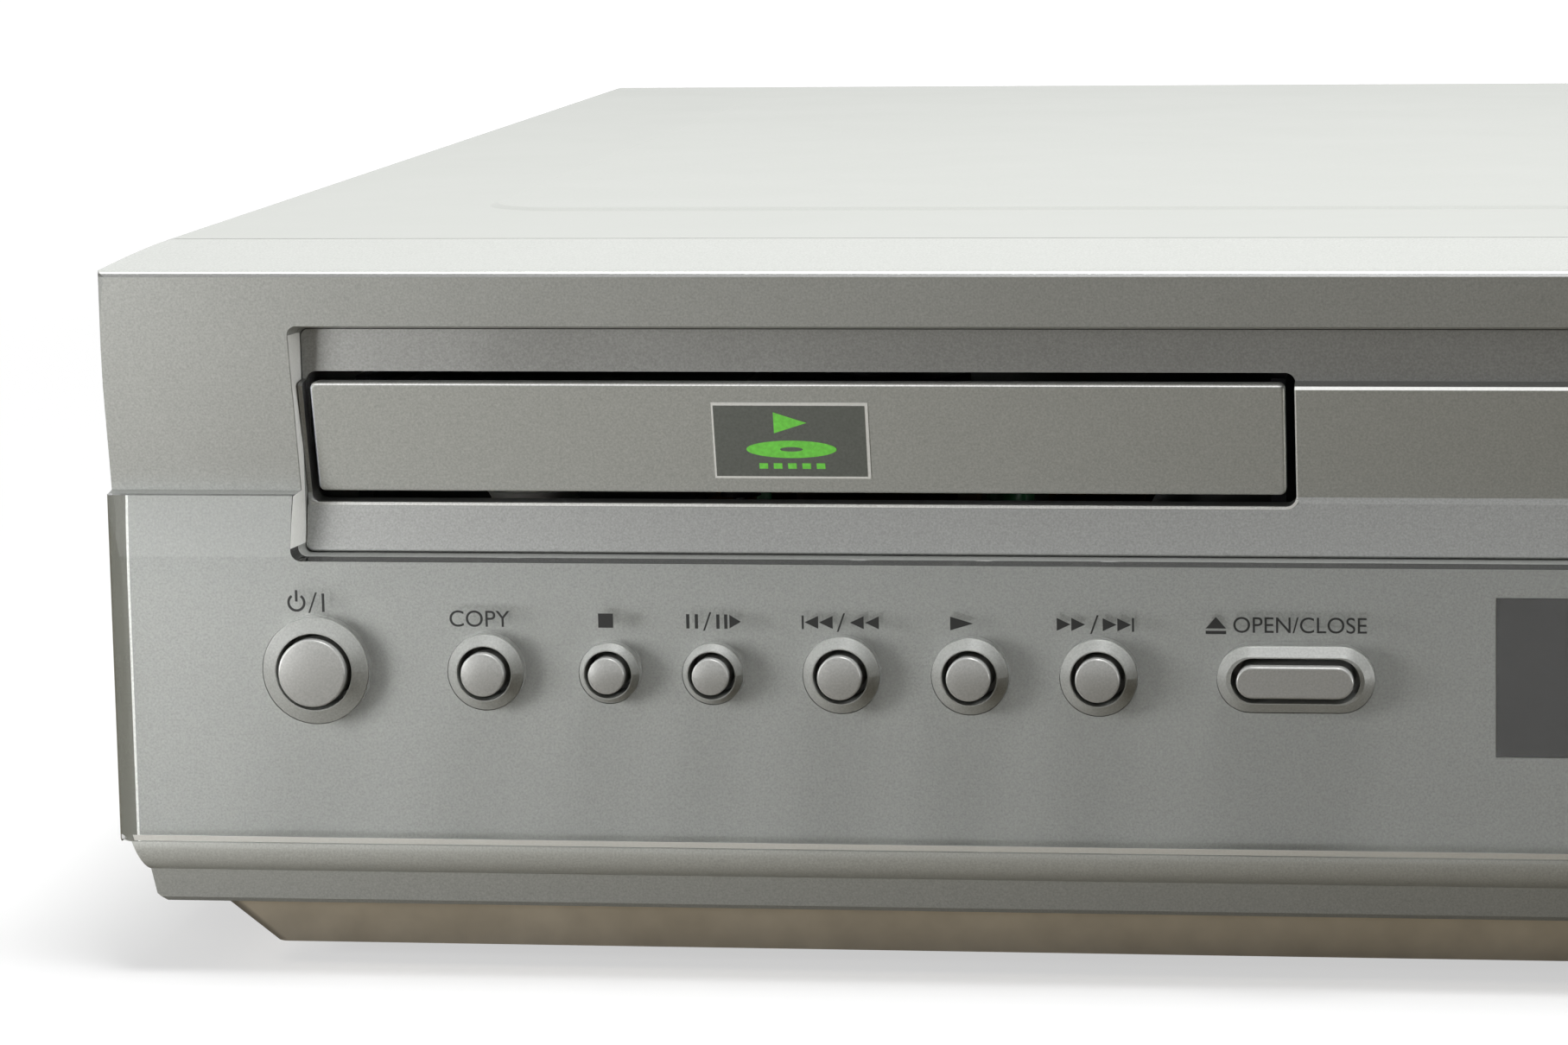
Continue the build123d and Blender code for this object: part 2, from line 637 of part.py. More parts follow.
# Loading gear: the pinion, with a belt pulley under it
with BuildPart() as loading_gear:
    with BuildSketch(Plane(origin=(PINION_X, PINION_Y, PINION_Z[0]))):
        with BuildLine():
            Polyline(*pinion_outline(), close=True)
        make_face()
    extrude(amount=PINION_Z[1] - PINION_Z[0])
    turned(
        PINION_X,
        PINION_Y,
        [(1, 62.6), (7.0, 62.6), (6.2, 64.0), (7.0, 65.4), (5.0, 65.4), (5.0, RACK_FOOT), (1, RACK_FOOT)],
    )
    upright(PINION_X, PINION_Y, 1.5 + PIN_PLAY, (60, 72), mode=Mode.SUBTRACT)
loading_gear.part.label = "loading_gear"
export_step(loading_gear.part, "parts/loading_gear.step")

# Loader frame: moulded trough with guides for the tray and ears for the traverse
inner_half = TRAY_HALF + 0.6
outer_half = inner_half + LOADER_WALL
with BuildPart() as loader_frame:
    block(
        (LOADER_X - outer_half, LOADER_X + outer_half),
        (LOADER_FRONT, LOADER_BACK),
        (LOADER_FLOOR, LOADER_FLOOR + LOADER_WALL),
    )
    for side in (-1, 1):
        wall_x = sorted((LOADER_X + side * inner_half, LOADER_X + side * outer_half))
        block(wall_x, (LOADER_FRONT, LOADER_BACK), (LOADER_FLOOR, LOADER_TOP))
        low_x = sorted((LOADER_X + side * 60.5, LOADER_X + side * outer_half))
        block(low_x, (LOADER_FRONT, LOADER_BACK), (68.2, TRAY_FOOT - 0.3))
        high_x = sorted((LOADER_X + side * 62.0, LOADER_X + side * outer_half))
        block(high_x, (LOADER_FRONT, LOADER_BACK), (TRAY_TOP + 0.4, TRAY_TOP + 2.0))
    opening_half = TRAVERSE_HALF + 2
    block(
        (LOADER_X - opening_half, LOADER_X + opening_half),
        (TRAVERSE_Y[0] - 6, HINGE_Y - 8),
        (LOADER_FLOOR - 1, LOADER_FLOOR + LOADER_WALL + 1),
        mode=Mode.SUBTRACT,
    )
    for side in (-1, 1):
        ear_x = sorted((LOADER_X + side * (TRAVERSE_HALF + 1), LOADER_X + side * (TRAVERSE_HALF + 5)))
        block(ear_x, (HINGE_Y - 4, HINGE_Y + 4), (LOADER_FLOOR, HINGE_Z + 4))
        rod_along_x(ear_x, HINGE_Y, HINGE_Z, 1.5 + PIN_PLAY, mode=Mode.SUBTRACT)
    upright(PINION_X, PINION_Y, 4.5, (LOADER_FLOOR + 1, 62.3))
    upright(PINION_X, PINION_Y, 1.5, (62.0, 69.4))
loader_frame.part.label = "loader_frame"
export_step(loader_frame.part, "parts/loader_frame.step")

# Four legs under the loader
with BuildPart() as loader_legs:
    for side in (-1, 1):
        for leg_y in (LOADER_FRONT + 10, LOADER_BACK - 8):
            upright(LOADER_X + side * 58, leg_y, 4.0, (PAN_FLOOR, LOADER_FLOOR))
loader_legs.part.label = "loader_legs"
export_step(loader_legs.part, "parts/loader_legs.step")

# Loading motor, upright beside the pinion, with its pulley
motor_x, motor_y = LOADER_X - 14.0, -134.0
with BuildPart() as loading_motor:
    turned(
        motor_x,
        motor_y,
        [
            (0, LOADER_FLOOR + LOADER_WALL),
            (10, LOADER_FLOOR + LOADER_WALL),
            (10, 59.0),
            (3, 60.0),
            (3, 61.0),
            (1, 61.0),
            (1, 62.6),
            (3, 62.6),
            (2.4, 64.0),
            (3, 65.4),
            (0, 65.4),
        ],
    )
loading_motor.part.label = "loading_motor"
export_step(loading_motor.part, "parts/loading_motor.step")

# Clamper bridge of folded sheet over the tray
with BuildPart() as clamper_bridge:
    block(
        (LOADER_X - outer_half, LOADER_X + outer_half),
        (DISC_Y - 20, DISC_Y + 20),
        (83.6, 84.8),
    )
    for side in (-1, 1):
        foot_x = sorted((LOADER_X + side * (inner_half - 3), LOADER_X + side * outer_half))
        block(foot_x, (DISC_Y - 20, DISC_Y + 20), (LOADER_TOP, 84.0))
    upright(LOADER_X, DISC_Y, 12.0, (80, 90), mode=Mode.SUBTRACT)
clamper_bridge.part.label = "clamper_bridge"
export_step(clamper_bridge.part, "parts/clamper_bridge.step")

# Clamper: a loose puck that hangs in the bridge
with BuildPart() as disc_clamper:
    turned(
        LOADER_X,
        DISC_Y,
        [
            (0, 80.2),
            (8.5, 80.2),
            (8.5, 78.5),
            (15.5, 78.5),
            (16, 79.1),
            (16, 82.0),
            (11, 82.0),
            (11, 85.0),
            (14.5, 85.0),
            (14.5, 86.2),
            (0, 86.2),
        ],
    )
disc_clamper.part.label = "disc_clamper"
export_step(disc_clamper.part, "parts/disc_clamper.step")

# Traverse frame, hinged at the back, with the spindle motor at the front
with BuildPart() as traverse_frame:
    block((LOADER_X - TRAVERSE_HALF, LOADER_X + TRAVERSE_HALF), TRAVERSE_Y, TRAVERSE_Z)
    fillet(traverse_frame.edges().filter_by(Axis.Z), radius=5)
    block((LOADER_X - 29, LOADER_X + 29), (-77.2, -11), (50, 66), mode=Mode.SUBTRACT)
    for side in (-1, 1):
        for end_y in ((-84.0, -79.5), (-10.5, -5.0)):
            end_x = sorted((LOADER_X + side * (ROD_X - 3), LOADER_X + side * (ROD_X + 3)))
            block(end_x, end_y, (TRAVERSE_Z[0], ROD_Z + 3))
        pin_x = sorted((LOADER_X + side * (TRAVERSE_HALF - 3), LOADER_X + side * (TRAVERSE_HALF + 4.5)))
        rod_along_x(pin_x, HINGE_Y, HINGE_Z, 1.5)
        rod_along_y(LOADER_X + side * ROD_X, (-83.0, -6.0), ROD_Z, ROD_RADIUS, mode=Mode.SUBTRACT)
    upright(LOADER_X, DISC_Y, 12.0, (TRAVERSE_Z[1] - 0.5, 69.4))
    upright(LOADER_X, DISC_Y, 1.0, (69.0, TURNTABLE_Z - 1.4))
traverse_frame.part.label = "traverse_frame"
export_step(traverse_frame.part, "parts/traverse_frame.step")

# The two rods that the sled rides on
with BuildPart() as sled_rods:
    for side in (-1, 1):
        rod_along_y(LOADER_X + side * ROD_X, (-83.0, -6.0), ROD_Z, ROD_RADIUS)
sled_rods.part.label = "sled_rods"
export_step(sled_rods.part, "parts/sled_rods.step")

# Laser sled with its lens
with BuildPart() as laser_sled:
    block((LOADER_X - 28, LOADER_X + 28), (-76.4, -46.4), (63.3, 69.6))
    fillet(laser_sled.edges().filter_by(Axis.Z), radius=2)
    for side in (-1, 1):
        rod_along_y(
            LOADER_X + side * ROD_X,
            (-80.0, -40.0),
            ROD_Z,
            ROD_RADIUS + PIN_PLAY,
            mode=Mode.SUBTRACT,
        )
    turned(LOADER_X, -67.5, [(0, 69.0), (7, 69.0), (7, 71.6), (4, 73.4), (2.5, 73.4), (2.0, 72.9), (0, 72.9)])
laser_sled.part.label = "laser_sled"
export_step(laser_sled.part, "parts/laser_sled.step")

# Turntable with its centring cone
with BuildPart() as turntable:
    turned(
        LOADER_X,
        DISC_Y,
        [
            (1 + PIN_PLAY, 69.8),
            (4, 69.8),
            (4, TURNTABLE_Z - 3),
            (14.5, TURNTABLE_Z - 3),
            (14.5, TURNTABLE_Z),
            (8.2, TURNTABLE_Z),
            (7.4, TURNTABLE_Z - 0.4),
            (7.4, TURNTABLE_Z + 1.2),
            (5.0, TURNTABLE_Z + 3),
            (0, TURNTABLE_Z + 3),
            (0, TURNTABLE_Z - 1),
            (1 + PIN_PLAY, TURNTABLE_Z - 1),
        ],
    )
turntable.part.label = "turntable"
export_step(turntable.part, "parts/turntable.step")

# Deck chassis: folded plate with the capstan's bush and the pins of the reels and the pinch arm
with BuildPart() as deck_chassis:
    block(CHASSIS_X, CHASSIS_Y, (CHASSIS_Z, CHASSIS_TOP))
    block(CHASSIS_X, (CHASSIS_Y[0], CHASSIS_Y[0] + CHASSIS_THICK), (CHASSIS_Z - 7, CHASSIS_TOP))
    block(CHASSIS_X, (CHASSIS_Y[1] - CHASSIS_THICK, CHASSIS_Y[1]), (CHASSIS_Z - 7, CHASSIS_TOP))
    for x in (TAPE_X - REEL_OFFSET, TAPE_X + REEL_OFFSET):
        upright(x, REEL_Y, 5.0, (CHASSIS_TOP, CHASSIS_TOP + 0.8))
        upright(x, REEL_Y, 1.5, (CHASSIS_TOP, 44.0))
    upright(CAPSTAN_X, CAPSTAN_Y, 5.0, (CHASSIS_Z - 2, 46.0))
    upright(CAPSTAN_X, CAPSTAN_Y, 1.5 + PIN_PLAY, (CHASSIS_Z - 4, 48.0), mode=Mode.SUBTRACT)
    upright(*PINCH_PIVOT, 4.0, (CHASSIS_TOP, 46.0))
    upright(*PINCH_PIVOT, 1.5, (46.0, 62.0))
    for x in (TAPE_X - 40, TAPE_X + 4):
        block((x, x + 34), (-116, -92), (CHASSIS_Z - 1, CHASSIS_TOP + 1), mode=Mode.SUBTRACT)
deck_chassis.part.label = "deck_chassis"
export_step(deck_chassis.part, "parts/deck_chassis.step")

# Four posts under the deck
with BuildPart() as deck_posts:
    for x in (CHASSIS_X[0] + 8, CHASSIS_X[1] - 8):
        for y in (CHASSIS_Y[0] + 9, CHASSIS_Y[1] - 9):
            upright(x, y, 4.0, (PAN_FLOOR, CHASSIS_Z))
deck_posts.part.label = "deck_posts"
export_step(deck_posts.part, "parts/deck_posts.step")

# Head drum: the fixed lower half with its shaft, and the spinning upper half, on a leaning axis
lean = radians(DRUM_TILT)
drum_axis = Axis((TAPE_X, DRUM_Y, DRUM_FOOT), (sin(lean), 0, cos(lean)))
drum_plane = Plane(origin=drum_axis.position, x_dir=(cos(lean), 0, -sin(lean)), z_dir=drum_axis.direction)
with BuildPart() as drum_base:
    with BuildSketch(drum_plane):
        Circle(DRUM_RADIUS)
    extrude(amount=DRUM_LOWER)
    fillet(drum_base.faces().sort_by(drum_axis)[0].edges(), radius=1.5)
    with BuildSketch(drum_plane.offset(DRUM_LOWER)):
        Circle(3)
    extrude(amount=DRUM_UPPER - 3)
    upright(TAPE_X, DRUM_Y, 20.0, (CHASSIS_TOP, 45.0))
    for side in (-1, 1):
        foot_x = sorted((TAPE_X + side * 16, TAPE_X + side * 36))
        block(foot_x, (DRUM_Y - 5, DRUM_Y + 5), (CHASSIS_TOP, CHASSIS_TOP + 2.0))
drum_base.part.label = "drum_base"
export_step(drum_base.part, "parts/drum_base.step")

with BuildPart() as head_drum:
    with BuildSketch(drum_plane.offset(DRUM_LOWER + 0.4)):
        Circle(DRUM_RADIUS)
        Circle(3 + PIN_PLAY, mode=Mode.SUBTRACT)
    extrude(amount=DRUM_UPPER)
    with BuildSketch(drum_plane.offset(DRUM_LOWER + DRUM_UPPER - 5)):
        Circle(22)
        Circle(9, mode=Mode.SUBTRACT)
    extrude(amount=6, mode=Mode.SUBTRACT)
    fillet(head_drum.faces().sort_by(drum_axis)[-1].edges(), radius=0.6)
head_drum.part.label = "head_drum"
export_step(head_drum.part, "parts/head_drum.step")

# Capstan with its flywheel under the chassis
with BuildPart() as capstan:
    turned(
        CAPSTAN_X,
        CAPSTAN_Y,
        [
            (0, 22.0),
            (5, 22.0),
            (5, 24.0),
            (24, 24.0),
            (24, 31.0),
            (4, 31.0),
            (4, 31.6),
            (1.5, 31.6),
            (1.5, 72.0),
            (0, 72.0),
        ],
    )
capstan.part.label = "capstan"
export_step(capstan.part, "parts/capstan.step")


def reel_outline():
    """Section of a reel table: rim, hub and spindle over a blind bore."""
    return [
        (1.5 + PIN_PLAY, 36.7),
        (19, 36.7),
        (19, 39.4),
        (17, 40.0),
        (9.5, 40.0),
        (9.5, 41.6),
        (4.2, 41.6),
        (4.2, 50.0),
        (2.4, 52.0),
        (0, 52.0),
        (0, 44.4),
        (1.5 + PIN_PLAY, 44.4),
    ]


# Reel tables with three drive fins each
with BuildPart() as supply_reel:
    turned(TAPE_X - REEL_OFFSET, REEL_Y, reel_outline())
    for turn in range(3):
        with Locations(Location((TAPE_X - REEL_OFFSET, REEL_Y, 46.0), (0, 0, 120 * turn))):
            Box(6.4, 1.6, 7.0, align=(Align.MIN, Align.CENTER, Align.CENTER))
    upright(TAPE_X - REEL_OFFSET, REEL_Y, 1.5 + PIN_PLAY, (36.0, 44.4), mode=Mode.SUBTRACT)
supply_reel.part.label = "supply_reel"
export_step(supply_reel.part, "parts/supply_reel.step")

with BuildPart() as takeup_reel:
    turned(TAPE_X + REEL_OFFSET, REEL_Y, reel_outline())
    for turn in range(3):
        with Locations(Location((TAPE_X + REEL_OFFSET, REEL_Y, 46.0), (0, 0, 120 * turn + 40))):
            Box(6.4, 1.6, 7.0, align=(Align.MIN, Align.CENTER, Align.CENTER))
    upright(TAPE_X + REEL_OFFSET, REEL_Y, 1.5 + PIN_PLAY, (36.0, 44.4), mode=Mode.SUBTRACT)
takeup_reel.part.label = "takeup_reel"
export_step(takeup_reel.part, "parts/takeup_reel.step")

# Pinch roller on its arm
arm_length = ((PINCH_ROLLER[0] - PINCH_PIVOT[0]) ** 2 + (PINCH_ROLLER[1] - PINCH_PIVOT[1]) ** 2) ** 0.5
arm_angle = degrees(atan2(PINCH_ROLLER[1] - PINCH_PIVOT[1], PINCH_ROLLER[0] - PINCH_PIVOT[0]))
with BuildPart() as pinch_arm:
    with BuildSketch(Plane(origin=(*PINCH_PIVOT, 46.4)).rotated((0, 0, arm_angle))):
        with Locations((arm_length / 2, 0)):
            SlotCenterToCenter(arm_length, 8)
    extrude(amount=2.0)
    upright(*PINCH_PIVOT, 4.0, (46.4, 58.0))
    upright(*PINCH_ROLLER, 6.0, (49.4, 63.0))
    upright(*PINCH_ROLLER, 2.0, (47.0, 64.0))
    upright(*PINCH_PIVOT, 1.5 + PIN_PLAY, (40, 70), mode=Mode.SUBTRACT)
pinch_arm.part.label = "pinch_arm"
export_step(pinch_arm.part, "parts/pinch_arm.step")

# Heads and guide posts round the drum
with BuildPart() as tape_heads:
    for x in (TAPE_X - 50, TAPE_X + 36):
        block((x - 5, x + 5), (0, 7), (48, 66))
        upright(x, 3.5, 2.5, (CHASSIS_TOP, 50))
    post = [(0, CHASSIS_TOP), (3, CHASSIS_TOP), (3, 47), (4, 47), (4, 48), (2.2, 48)]
    post += [(2.2, 62), (4, 62), (4, 63), (0, 63)]
    for x, y in ((TAPE_X - 38, -6), (TAPE_X - 36, 4), (TAPE_X + 26, -6), (TAPE_X + 44, -7)):
        turned(x, y, post)
tape_heads.part.label = "tape_heads"
export_step(tape_heads.part, "parts/tape_heads.step")

# Cassette holder: folded sheet with a roof, two walls and two floor lips
with BuildPart() as cassette_holder:
    block((HOLDER_X[0] - 1, HOLDER_X[1] + 1), HOLDER_Y, (HOLDER_Z[1], HOLDER_Z[1] + 1))
    block(
        (HOLDER_X[0] + 30, HOLDER_X[1] - 30),
        (HOLDER_Y[0] + 20, HOLDER_Y[1] - 16),
        (HOLDER_Z[1] - 1, HOLDER_Z[1] + 2),
        mode=Mode.SUBTRACT,
    )
    for inner, way in ((HOLDER_X[0], -1), (HOLDER_X[1], 1)):
        block(sorted((inner, inner + way)), HOLDER_Y, (HOLDER_Z[0] - 1, HOLDER_Z[1] + 1))
        block(sorted((inner + way, inner - way * 14)), HOLDER_Y, (HOLDER_Z[0] - 1, HOLDER_Z[0]))
        for y in HOLDER_PINS_Y:
            rod_along_x(sorted((inner + way * 0.5, inner + way * 6.4)), y, HOLDER_PIN_Z, 2.0)
        window_x = sorted((inner - way, inner + way * 2))
        window_y = (HOLDER_PINS_Y[0] + 12, HOLDER_PINS_Y[1] - 12)
        block(window_x, window_y, (HOLDER_Z[0] + 4, HOLDER_PIN_Z), mode=Mode.SUBTRACT)
cassette_holder.part.label = "cassette_holder"
export_step(cassette_holder.part, "parts/cassette_holder.step")

# Carriage slides: two plates with upright slots for the holder's pins, joined by a tie bar
with BuildPart() as carriage_slides:
    for inner, way in ((HOLDER_X[0], -1), (HOLDER_X[1], 1)):
        plate_x = sorted((inner + way * 4.6, inner + way * 5.6))
        block(plate_x, (HOLDER_Y[0] + 6, HOLDER_Y[1] - 2), (44, 86))
        for y in HOLDER_PINS_Y:
            slot_z = (HOLDER_PIN_Z - HOLDER_DROP - 2.4, HOLDER_PIN_Z + 2.4)
            block(plate_x, (y - 2.4, y + 2.4), slot_z, mode=Mode.SUBTRACT)
        for y in SLIDE_PINS_Y:
            rod_along_x(sorted((inner + way * 5.0, inner + way * 8.6)), y, SLIDE_PIN_Z, 2.0)
    block((HOLDER_X[0] - 5.6, HOLDER_X[1] + 5.6), (HOLDER_Y[1] - 14, HOLDER_Y[1] - 8), (90.4, 91.4))
    for inner, way in ((HOLDER_X[0], -1), (HOLDER_X[1], 1)):
        plate_x = sorted((inner + way * 4.6, inner + way * 5.6))
        block(plate_x, (HOLDER_Y[1] - 14, HOLDER_Y[1] - 8), (85, 91.4))
carriage_slides.part.label = "carriage_slides"
export_step(carriage_slides.part, "parts/carriage_slides.step")

# Carriage brackets: fixed side plates with level slots for the slides' pins
with BuildPart() as carriage_brackets:
    for inner, way in ((HOLDER_X[0], -1), (HOLDER_X[1], 1)):
        plate_x = sorted((inner + way * 6.8, inner + way * 7.8))
        block(plate_x, (CHASSIS_Y[0] + 2, -6), (CHASSIS_TOP, 84))
        slot_y = (SLIDE_PINS_Y[0] - 2.3, SLIDE_PINS_Y[1] + SLIDE_IN + 2.3)
        block(plate_x, slot_y, (SLIDE_PIN_Z - 2.3, SLIDE_PIN_Z + 2.3), mode=Mode.SUBTRACT)
        foot_x = sorted((inner + way * 6.8, inner + way * 9.4))
        block(foot_x, (CHASSIS_Y[0] + 2, -6), (CHASSIS_TOP, CHASSIS_TOP + 1))
carriage_brackets.part.label = "carriage_brackets"
export_step(carriage_brackets.part, "parts/carriage_brackets.step")

# Cassette flap: a skin that follows the recessed step, on two short pins
with BuildPart() as cassette_flap:
    profile_along_x(step_skin(FLAP_TOP, FLAP_FOOT), (FLAP_LEFT, FLAP_RIGHT))
    for inner, outer in ((FLAP_LEFT + 2.5, FLAP_LEFT - 1.6), (FLAP_RIGHT - 2.5, FLAP_RIGHT + 1.2)):
        rod_along_x(sorted((inner, outer)), deep(FLAP_AXIS_DEPTH), FLAP_AXIS_Z, PIN_RADIUS)
cassette_flap.part.label = "cassette_flap"
export_step(cassette_flap.part, "parts/cassette_flap.step")

# Display: smoked window behind the clear plate, and the module behind it
with BuildPart() as display_window:
    block(
        (DISPLAY_X[0] + FIT, DISPLAY_X[1] - FIT),
        (deep(PLATE_THICK), deep(PLATE_THICK + 2)),
        (DISPLAY_Z[0] + FIT, DISPLAY_Z[1] - FIT),
    )
display_window.part.label = "display_window"
export_step(display_window.part, "parts/display_window.step")

with BuildPart() as display_module:
    block(
        (DISPLAY_X[0] + 6, DISPLAY_X[1] - 6),
        (deep(PLATE_THICK + 2.4), deep(PLATE_THICK + 9)),
        (DISPLAY_Z[0] + 3, DISPLAY_Z[1] - 3),
    )
    block(
        (DISPLAY_X[0] + 8, DISPLAY_X[1] - 8),
        (deep(PLATE_THICK + 8), deep(17.5)),
        (DISPLAY_Z[0] + 5, DISPLAY_Z[1] - 5),
    )
display_module.part.label = "display_module"
export_step(display_module.part, "parts/display_module.step")

# Round buttons: domed cap, flange behind the bezel and stem to the switch
for name, (x, size) in ROUND_BUTTONS.items():
    cap_radius = ROUND_SIZES[size][0] / 2
    dome_radius = cap_radius - DOME_EDGE
    edge_y = CAP_Y + DOME_DROP
    corner = DOME_EDGE * (1 - cos(pi / 4))
    with BuildPart() as button:
        with BuildSketch(Plane(origin=(x, 0, ROW_Z), x_dir=(1, 0, 0), z_dir=(0, 0, 1))):
            with BuildLine():
                ThreePointArc((0, CAP_Y), (dome_radius / 2, CAP_Y + DOME_DROP / 4), (dome_radius, edge_y))
                ThreePointArc(
                    (dome_radius, edge_y),
                    (cap_radius - corner, edge_y + corner),
                    (cap_radius, edge_y + DOME_EDGE),
                )
                Polyline(
                    (cap_radius, edge_y + DOME_EDGE),
                    (cap_radius, FLANGE_Y),
                    (cap_radius + 1.6, FLANGE_Y),
                    (cap_radius + 1.6, FLANGE_Y + 1.0),
                    (STEM_RADIUS, FLANGE_Y + 1.0),
                    (STEM_RADIUS, STEM_TIP_Y),
                    (0, STEM_TIP_Y),
                    (0, CAP_Y),
                )
            make_face()
        revolve(axis=Axis((x, 0, ROW_Z), (0, 1, 0)))
    button.part.label = name
    export_step(button.part, f"parts/{name}.step")

# Oval buttons
for name, x in OVAL_BUTTONS.items():
    with BuildPart() as button:
        with BuildSketch(across(CAP_Y)):
            with Locations((x, ROW_Z)):
                SlotOverall(*OVAL_CAP)
        extrude(amount=CAP_Y - FLANGE_Y)
        fillet(button.faces().sort_by(Axis.Y)[0].edges(), radius=DOME_EDGE)
        with BuildSketch(across(FLANGE_Y)):
            with Locations((x, ROW_Z)):
                SlotOverall(OVAL_CAP[0] + 3.2, OVAL_CAP[1] + 3.2)
        extrude(amount=-1)
        rod_along_y(x, (FLANGE_Y + 0.5, STEM_TIP_Y), ROW_Z, STEM_RADIUS)
    button.part.label = name
    export_step(button.part, f"parts/{name}.step")

# Front board behind the buttons, with its switches
board_y = deep(17.5)
with BuildPart() as front_board:
    block((-204, 204), (board_y, board_y + 1.6), (22, 57))
    for x in (-200, -30, 74, 200):
        rod_along_y(x, (board_y - 1, board_y + 3), 26, 1.6, mode=Mode.SUBTRACT)
front_board.part.label = "front_board"
export_step(front_board.part, "parts/front_board.step")

button_places = [place[0] for place in ROUND_BUTTONS.values()] + list(OVAL_BUTTONS.values())
with BuildPart() as tact_switches:
    for x in button_places:
        block((x - 3, x + 3), (board_y - 3.5, board_y), (ROW_Z - 3, ROW_Z + 3))
        rod_along_y(x, (board_y - 4.7, board_y - 3.4), ROW_Z, 1.7)
tact_switches.part.label = "tact_switches"
export_step(tact_switches.part, "parts/tact_switches.step")


def phono_jack(x, z, y_tip, y_root, way):
    """One phono socket: barrel with its hole, shoulder and body block."""
    span = sorted((y_tip, y_root))
    rod_along_y(x, span, z, 4.15)
    shoulder = sorted((y_root, y_root - way * 1.5))
    rod_along_y(x, shoulder, z, 5.2)
    body = sorted((y_root - way * 1.5, y_root - way * 9.0))
    block((x - 5.5, x + 5.5), body, (z - 5.5, z + 5.5))
    bore = sorted((y_tip + way, y_tip - way * 7.5))
    rod_along_y(x, bore, z, 1.7, mode=Mode.SUBTRACT)


# Front phono sockets
with BuildPart() as front_sockets:
    for x in FRONT_SOCKETS_X:
        phono_jack(x, FRONT_SOCKETS_Z, deep(-1.5), deep(6.5), -1)
    block(
        (FRONT_SOCKETS_X[0] - 7, FRONT_SOCKETS_X[-1] + 7),
        (deep(15.0), board_y),
        (FRONT_SOCKETS_Z - 5.2, FRONT_SOCKETS_Z + 6),
    )
front_sockets.part.label = "front_sockets"
export_step(front_sockets.part, "parts/front_sockets.step")


def dish(lift, inset, mode):
    """The pan's pressed-down floor: its sides slant out to the rim, and its front stands almost upright."""
    low_z = FOOT_HEIGHT + lift
    slant = 1.22 * (SILL_FOOT - low_z)
    lean = 0.2 * (SILL_FOOT - low_z)
    side = 195.0 - inset
    front, back = 2 * inset - 165.5, 150.0 - inset
    with BuildSketch(Plane.XY.offset(low_z)) as low:
        with Locations((0, (front + back) / 2)):
            RectangleRounded(2 * side, back - front, 2)
    front, back = front - lean, back + slant
    with BuildSketch(Plane.XY.offset(SILL_FOOT)) as high:
        with Locations((0, (front + back) / 2)):
            RectangleRounded(2 * (side + slant), back - front, 3)
    loft([low.sketch.faces()[0], high.sketch.faces()[0]], mode=mode)


# Base pan: flange, side walls, and the pressed floor with its stiffening beads and vents
with BuildPart() as base_pan:
    block((-HALF + 1.2, HALF - 1.2), (-146.0, BACK_Y - SHEET), (SILL_FOOT - 1, SILL_FOOT))
    dish(0, 0, Mode.ADD)
    dish(PAN_FLOOR - FOOT_HEIGHT, 0.4, Mode.SUBTRACT)
    for side in (-1, 1):
        wall_x = sorted((side * (HALF - 2.0), side * (HALF - 1.2)))
        block(wall_x, (-146.0, BACK_Y - SHEET), (SILL_FOOT - 1, 24))
    for x, y, length in ((-118, -75, 90), (87, -95, 150), (87, 10, 150), (-138, 48, 90)):
        for floor_z, grow, way in ((PAN_FLOOR, 0, Mode.ADD), (FOOT_HEIGHT, -1.2, Mode.SUBTRACT)):
            with BuildSketch(Plane.XY.offset(floor_z)):
                with Locations((x, y)):
                    SlotOverall(length + grow, 9 + grow)
            extrude(amount=BEAD_RISE, taper=45, mode=way)
    with Locations((-120, 10, FOOT_HEIGHT), (60, 115, FOOT_HEIGHT)):
        with GridLocations(14, 9, 6, 4):
            Box(10, 3, 6, mode=Mode.SUBTRACT)
base_pan.part.label = "base_pan"
export_step(base_pan.part, "parts/base_pan.step")

# Feet: four turned pads
with BuildPart() as feet:
    for x in (-172, 172):
        for y in (-126, 122):
            turned(x, y, [(0, 0), (9.5, 0), (10.5, 0.8), (10.5, FOOT_HEIGHT), (0, FOOT_HEIGHT)])
feet.part.label = "feet"
export_step(feet.part, "parts/feet.step")

